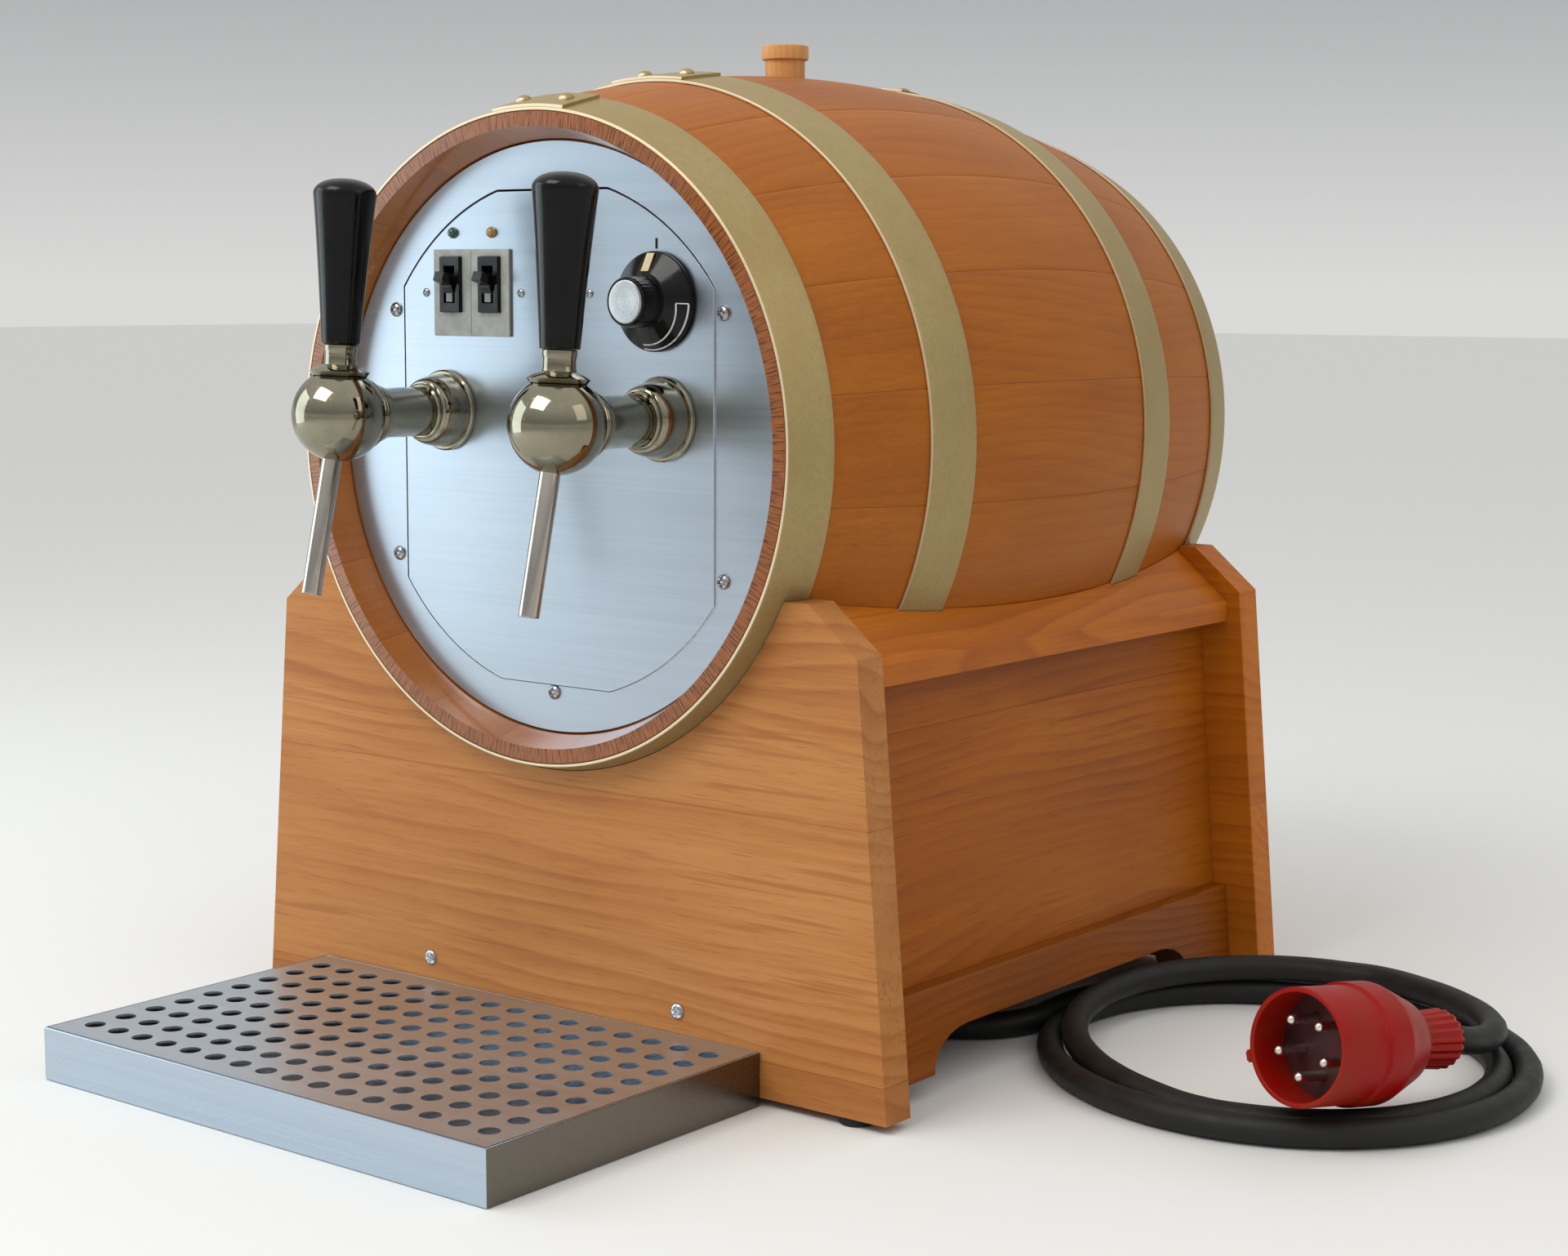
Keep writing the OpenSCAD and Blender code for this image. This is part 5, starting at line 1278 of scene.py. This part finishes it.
# taps: ball and shank, rosette, spout, lever with its skirt, black handle
taps = Sizes(
    across=0.0745, up=0.0128, reach=0.076, intoPanel=0.004, shank=0.01275, steps=96, spoutSteps=48,
    sharp=34, handleSharp=40,
    ballSteps=40, beadSteps=8, bellSteps=10, skirtSteps=10, shellSteps=8, handleSteps=20, crownSteps=16,
    ball=0.0235, bead=47.0, beadHalf=2.3, beadRise=0.0011, neck=0.0156, neckEnd=0.026, neckMeet=0.0004,
    # neck ring: steps out from the neck's radius and along from the ball
    neckRing=((-0.0006, 0.0005), (0.0, 0.0011), (0.0003, 0.0024), (0.0, 0.0037)),
    neckTail=(0.0012, 0.0006), shankEdge=(0.0004, 0.0006),
    rosette=0.021, rosetteLength=0.020, rosetteFit=0.0001,
    # flange: steps in from the rosette's radius and out from the panel
    flange=((0.0004, 0.0), (0.0, 0.0006), (0.0, 0.0022), (0.0008, 0.0030), (0.0020, 0.0031)),
    bell=(0.0016, 0.0038), bellFrom=0.0036, bellShort=0.0056,
    bellLip=((0.0014, 0.0008), (0.0006, 0.0), (0.0, 0.0)),
    lean=3.5, skirtAngle=35.0, skirt=0.0026, gap=0.00035, ferrule=0.0084,
    # ferrule: steps in from its radius at shares of its height
    ferruleWaist=((0.0003, 0.10), (0.0005, 0.35), (0.0004, 0.62), (0.0, 0.72)), ferruleTop=(0.0006, 0.0008, 0.0002),
    handleFrom=0.0355, handleLength=0.082, handleFoot=0.0097, handleHead=0.0157, handleEdge=0.0005,
    handleBow=0.25, crown=0.5, crownRound=0.85,
    spout=0.005, spoutWall=0.0015, spoutEnd=0.091, spoutSeat=0.016, spoutLean=13.0, spoutEase=0.0004,
)


def ballOutline():
    # from the tip of the ball back over a bead and a raised neck ring to the shank
    s = taps
    meet = math.asin((s.neck - s.neckMeet) / s.ball)
    half = math.radians(s.beadHalf)
    start = math.pi - math.radians(s.bead) - half
    polar = evenly(s.ballSteps, lambda k: (s.ball, start * k))
    polar += evenly(s.beadSteps, lambda k: (s.ball + s.beadRise * math.sin(math.pi * k), start + 2 * half * k))[1:]
    polar.append((s.ball, math.pi - meet))
    outline = [(radius * math.sin(angle), -radius * math.cos(angle)) for radius, angle in polar]
    foot = outline[-1][1]
    outline += [(s.neck + out, foot + along) for out, along in s.neckRing]
    back = s.reach + s.intoPanel
    return outline + [
        (s.neck - s.neckTail[0], s.neckEnd - s.neckTail[1]), (s.shank + s.shankEdge[0], s.neckEnd),
        (s.shank, s.neckEnd + s.shankEdge[1]), (s.shank, back), (0, back),
    ]


def rosetteOutline():
    # heights grow from the panel towards the ball: thin flange, then a bell
    s = taps
    neck, high = s.shank + s.rosetteFit, s.rosetteLength
    inset, narrow = s.bell
    bell = evenly(s.bellSteps, lambda k: (
        neck + inset + (s.rosette - narrow - neck) * math.cos(k * math.pi / 2),
        s.bellFrom + (high - s.bellShort) * math.sin(k * math.pi / 2),
    ))
    flange = [(s.rosette - inward, out) for inward, out in s.flange]
    return [(neck, 0), *flange, *bell, *[(neck + out, high - short) for out, short in s.bellLip]]


def leverOutline():
    s = taps
    inner, outer = s.ball + s.gap, s.ball + s.gap + s.skirt
    rim, neck = math.radians(s.skirtAngle), math.asin(s.ferrule / outer)
    polar = evenly(s.skirtSteps, lambda k: (inner, rim * k))
    polar += evenly(s.shellSteps, lambda k: (outer, rim + (neck - rim) * k))
    outline = [(radius * math.sin(angle), radius * math.cos(angle)) for radius, angle in polar]
    low, high = outer * math.cos(neck), s.handleFrom
    outline += [(s.ferrule - inward, low + (high - low) * share) for inward, share in s.ferruleWaist]
    inward, straight, short = s.ferruleTop
    return outline + [(s.ferrule, high - straight), (s.ferrule - inward, high - short), (0, high - short)]


def handleOutline():
    s = taps
    foot, head, start = s.handleFoot, s.handleHead, s.handleFrom
    rise = head * s.crown
    top, low = start + s.handleLength - rise, start + s.handleEdge
    sides = evenly(s.handleSteps, lambda k: (
        foot + (head - foot) * ((1 - s.handleBow) * k + s.handleBow * k * k), low + (top - low) * k
    ))
    crown = evenly(s.crownSteps, lambda k: (
        head * max(0.0, math.cos(k * math.pi / 2)) ** s.crownRound, top + rise * math.sin(k * math.pi / 2)
    ))
    return [(0, start), (foot - s.handleEdge, start), *sides, *crown[1:-1], (0, crown[-1][1])]


def spoutOutline():
    s = taps
    inner = s.spout - s.spoutWall
    tube = [(inner, s.spoutSeat), (s.spout, s.spoutSeat), (s.spout, s.spoutEnd), (inner, s.spoutEnd)]
    return soften([tube[-1], *tube, tube[0]], s.spoutEase)[1:-1]


def makeTaps():
    s = taps
    balls, rosettes, spouts = bmesh.new(), bmesh.new(), bmesh.new()
    lean, tilt = math.radians(s.lean), math.radians(s.spoutLean)
    for side, word in ((-1, "left"), (1, "right")):
        middle = Vector((side * s.across, panelFace - s.reach, barrel.axisHeight + s.up))
        lathe(balls, ballOutline(), aimed(middle, (0, 1, 0)), s.steps)
        lathe(rosettes, rosetteOutline(), aimed(middle + Vector((0, s.reach, 0)), (0, -1, 0)), s.steps, loop=True)
        lathe(spouts, spoutOutline(), aimed(middle, (0, -math.sin(tilt), -math.cos(tilt))), s.spoutSteps, loop=True)
        upright = aimed(middle, (0, math.sin(lean), math.cos(lean)))
        turnedPiece(camel("lever_" + word), leverOutline(), upright, s.steps, s.sharp, "tap_lever_" + word)
        turnedPiece(camel("handle_" + word), handleOutline(), upright, s.steps, s.handleSharp, "tap_handle_" + word)
    closePiece("tapBalls", balls, s.sharp, "tap_bodies", "tap_end_plugs")
    closePiece("tapRosettes", rosettes, s.sharp, "tap_rosettes")
    closePiece("tapSpouts", spouts, s.sharp, "tap_spouts", material=others.spoutSteel)


makeTaps()
print("taps made")

# drip tray
drain = Sizes(
    thickness=0.0012, pitch=0.0184, rowPitch=0.019, columns=16, rows=9, hole=0.00525, room=0.0006, sharp=30,
    panEase=0.0004,
)
roundedCopy("tray_pan", drain.panEase)


def makeDrain():
    low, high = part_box("tray_grid")
    middle, size = (low + high) / 2, high - low
    own = {
        "width": size.x + 2 * drain.room, "depth": size.y + 2 * drain.room, "metal": others.gridSteel,
        "place": (middle.x, middle.y, low.z),
    }
    mesh = turnOut(runTree("drainGrid", gridTree, {**drain, **own}))
    standFor("drainGrid", dressMesh(mesh, drain.sharp, others.gridSteel), "tray_grid")


makeDrain()
print("tray made")

# floor, lamps and surroundings
stageLook = Sizes(
    floor=(0.74, 0.74, 0.73), floorRough=0.9, floorHalf=20, floorDown=0.0004,
    world=((0.70, 0.70, 0.69), (0.40, 0.41, 0.42), (0.92, 0.92, 0.90)), worldRise=(0.0, 0.12, 0.75),
    lamps=[
        # name, place, aim, width, height, watts, colour
        ("keyLamp", (-1.40, -0.86, 0.62), (0.0, -0.1, 0.3), 1.0, 1.25, 10.0, (0.78, 0.93, 1.0)),
        ("topLamp", (-0.3, -1.5, 1.9), (0.0, -0.1, 0.3), 1.3, 1.0, 24.0, (1.0, 0.98, 0.95)),
        ("fillLamp", (1.9, 0.3, 1.3), (0.1, 0.1, 0.25), 1.0, 1.2, 3.5, (1.0, 0.93, 0.84)),
    ],
)


def makeFloor():
    s = stageLook
    form = bmesh.new()
    bmesh.ops.create_grid(form, x_segments=1, y_segments=1, size=s.floorHalf)
    bmesh.ops.translate(form, vec=(0, 0, -s.floorDown), verts=form.verts)
    floor = linked("floor", meshOf("floor", form))
    material, _ = newFinish("paleFloor")
    floor.data.materials.append(finished(material, {"Base Color": s.floor, "Roughness": s.floorRough}))
    floor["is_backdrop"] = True


def makeLight():
    s = stageLook
    for name, place, aim, width, height, watts, colour in s.lamps:
        data = bpy.data.lights.new(name, "AREA")
        data.shape, data.size, data.size_y = "RECTANGLE", width, height
        data.energy, data.color = watts, colour
        lamp = linked(name, data)
        turn = (Vector(place) - Vector(aim)).to_track_quat("Z", "Y")
        lamp.matrix_world = Matrix.Translation(place) @ turn.to_matrix().to_4x4()
        lamp.visible_camera = False
    scene.world = bpy.data.worlds.new("softRoom")
    scene.world.use_nodes = True
    tree = scene.world.node_tree
    rise = put(tree, "ShaderNodeTexCoord").at("Generated").parts()[2]
    feed(tree, tree.nodes["Background"].inputs["Color"], rise.ramp(s.world, s.worldRise))


makeFloor()
makeLight()
print("stage set")

low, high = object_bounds()
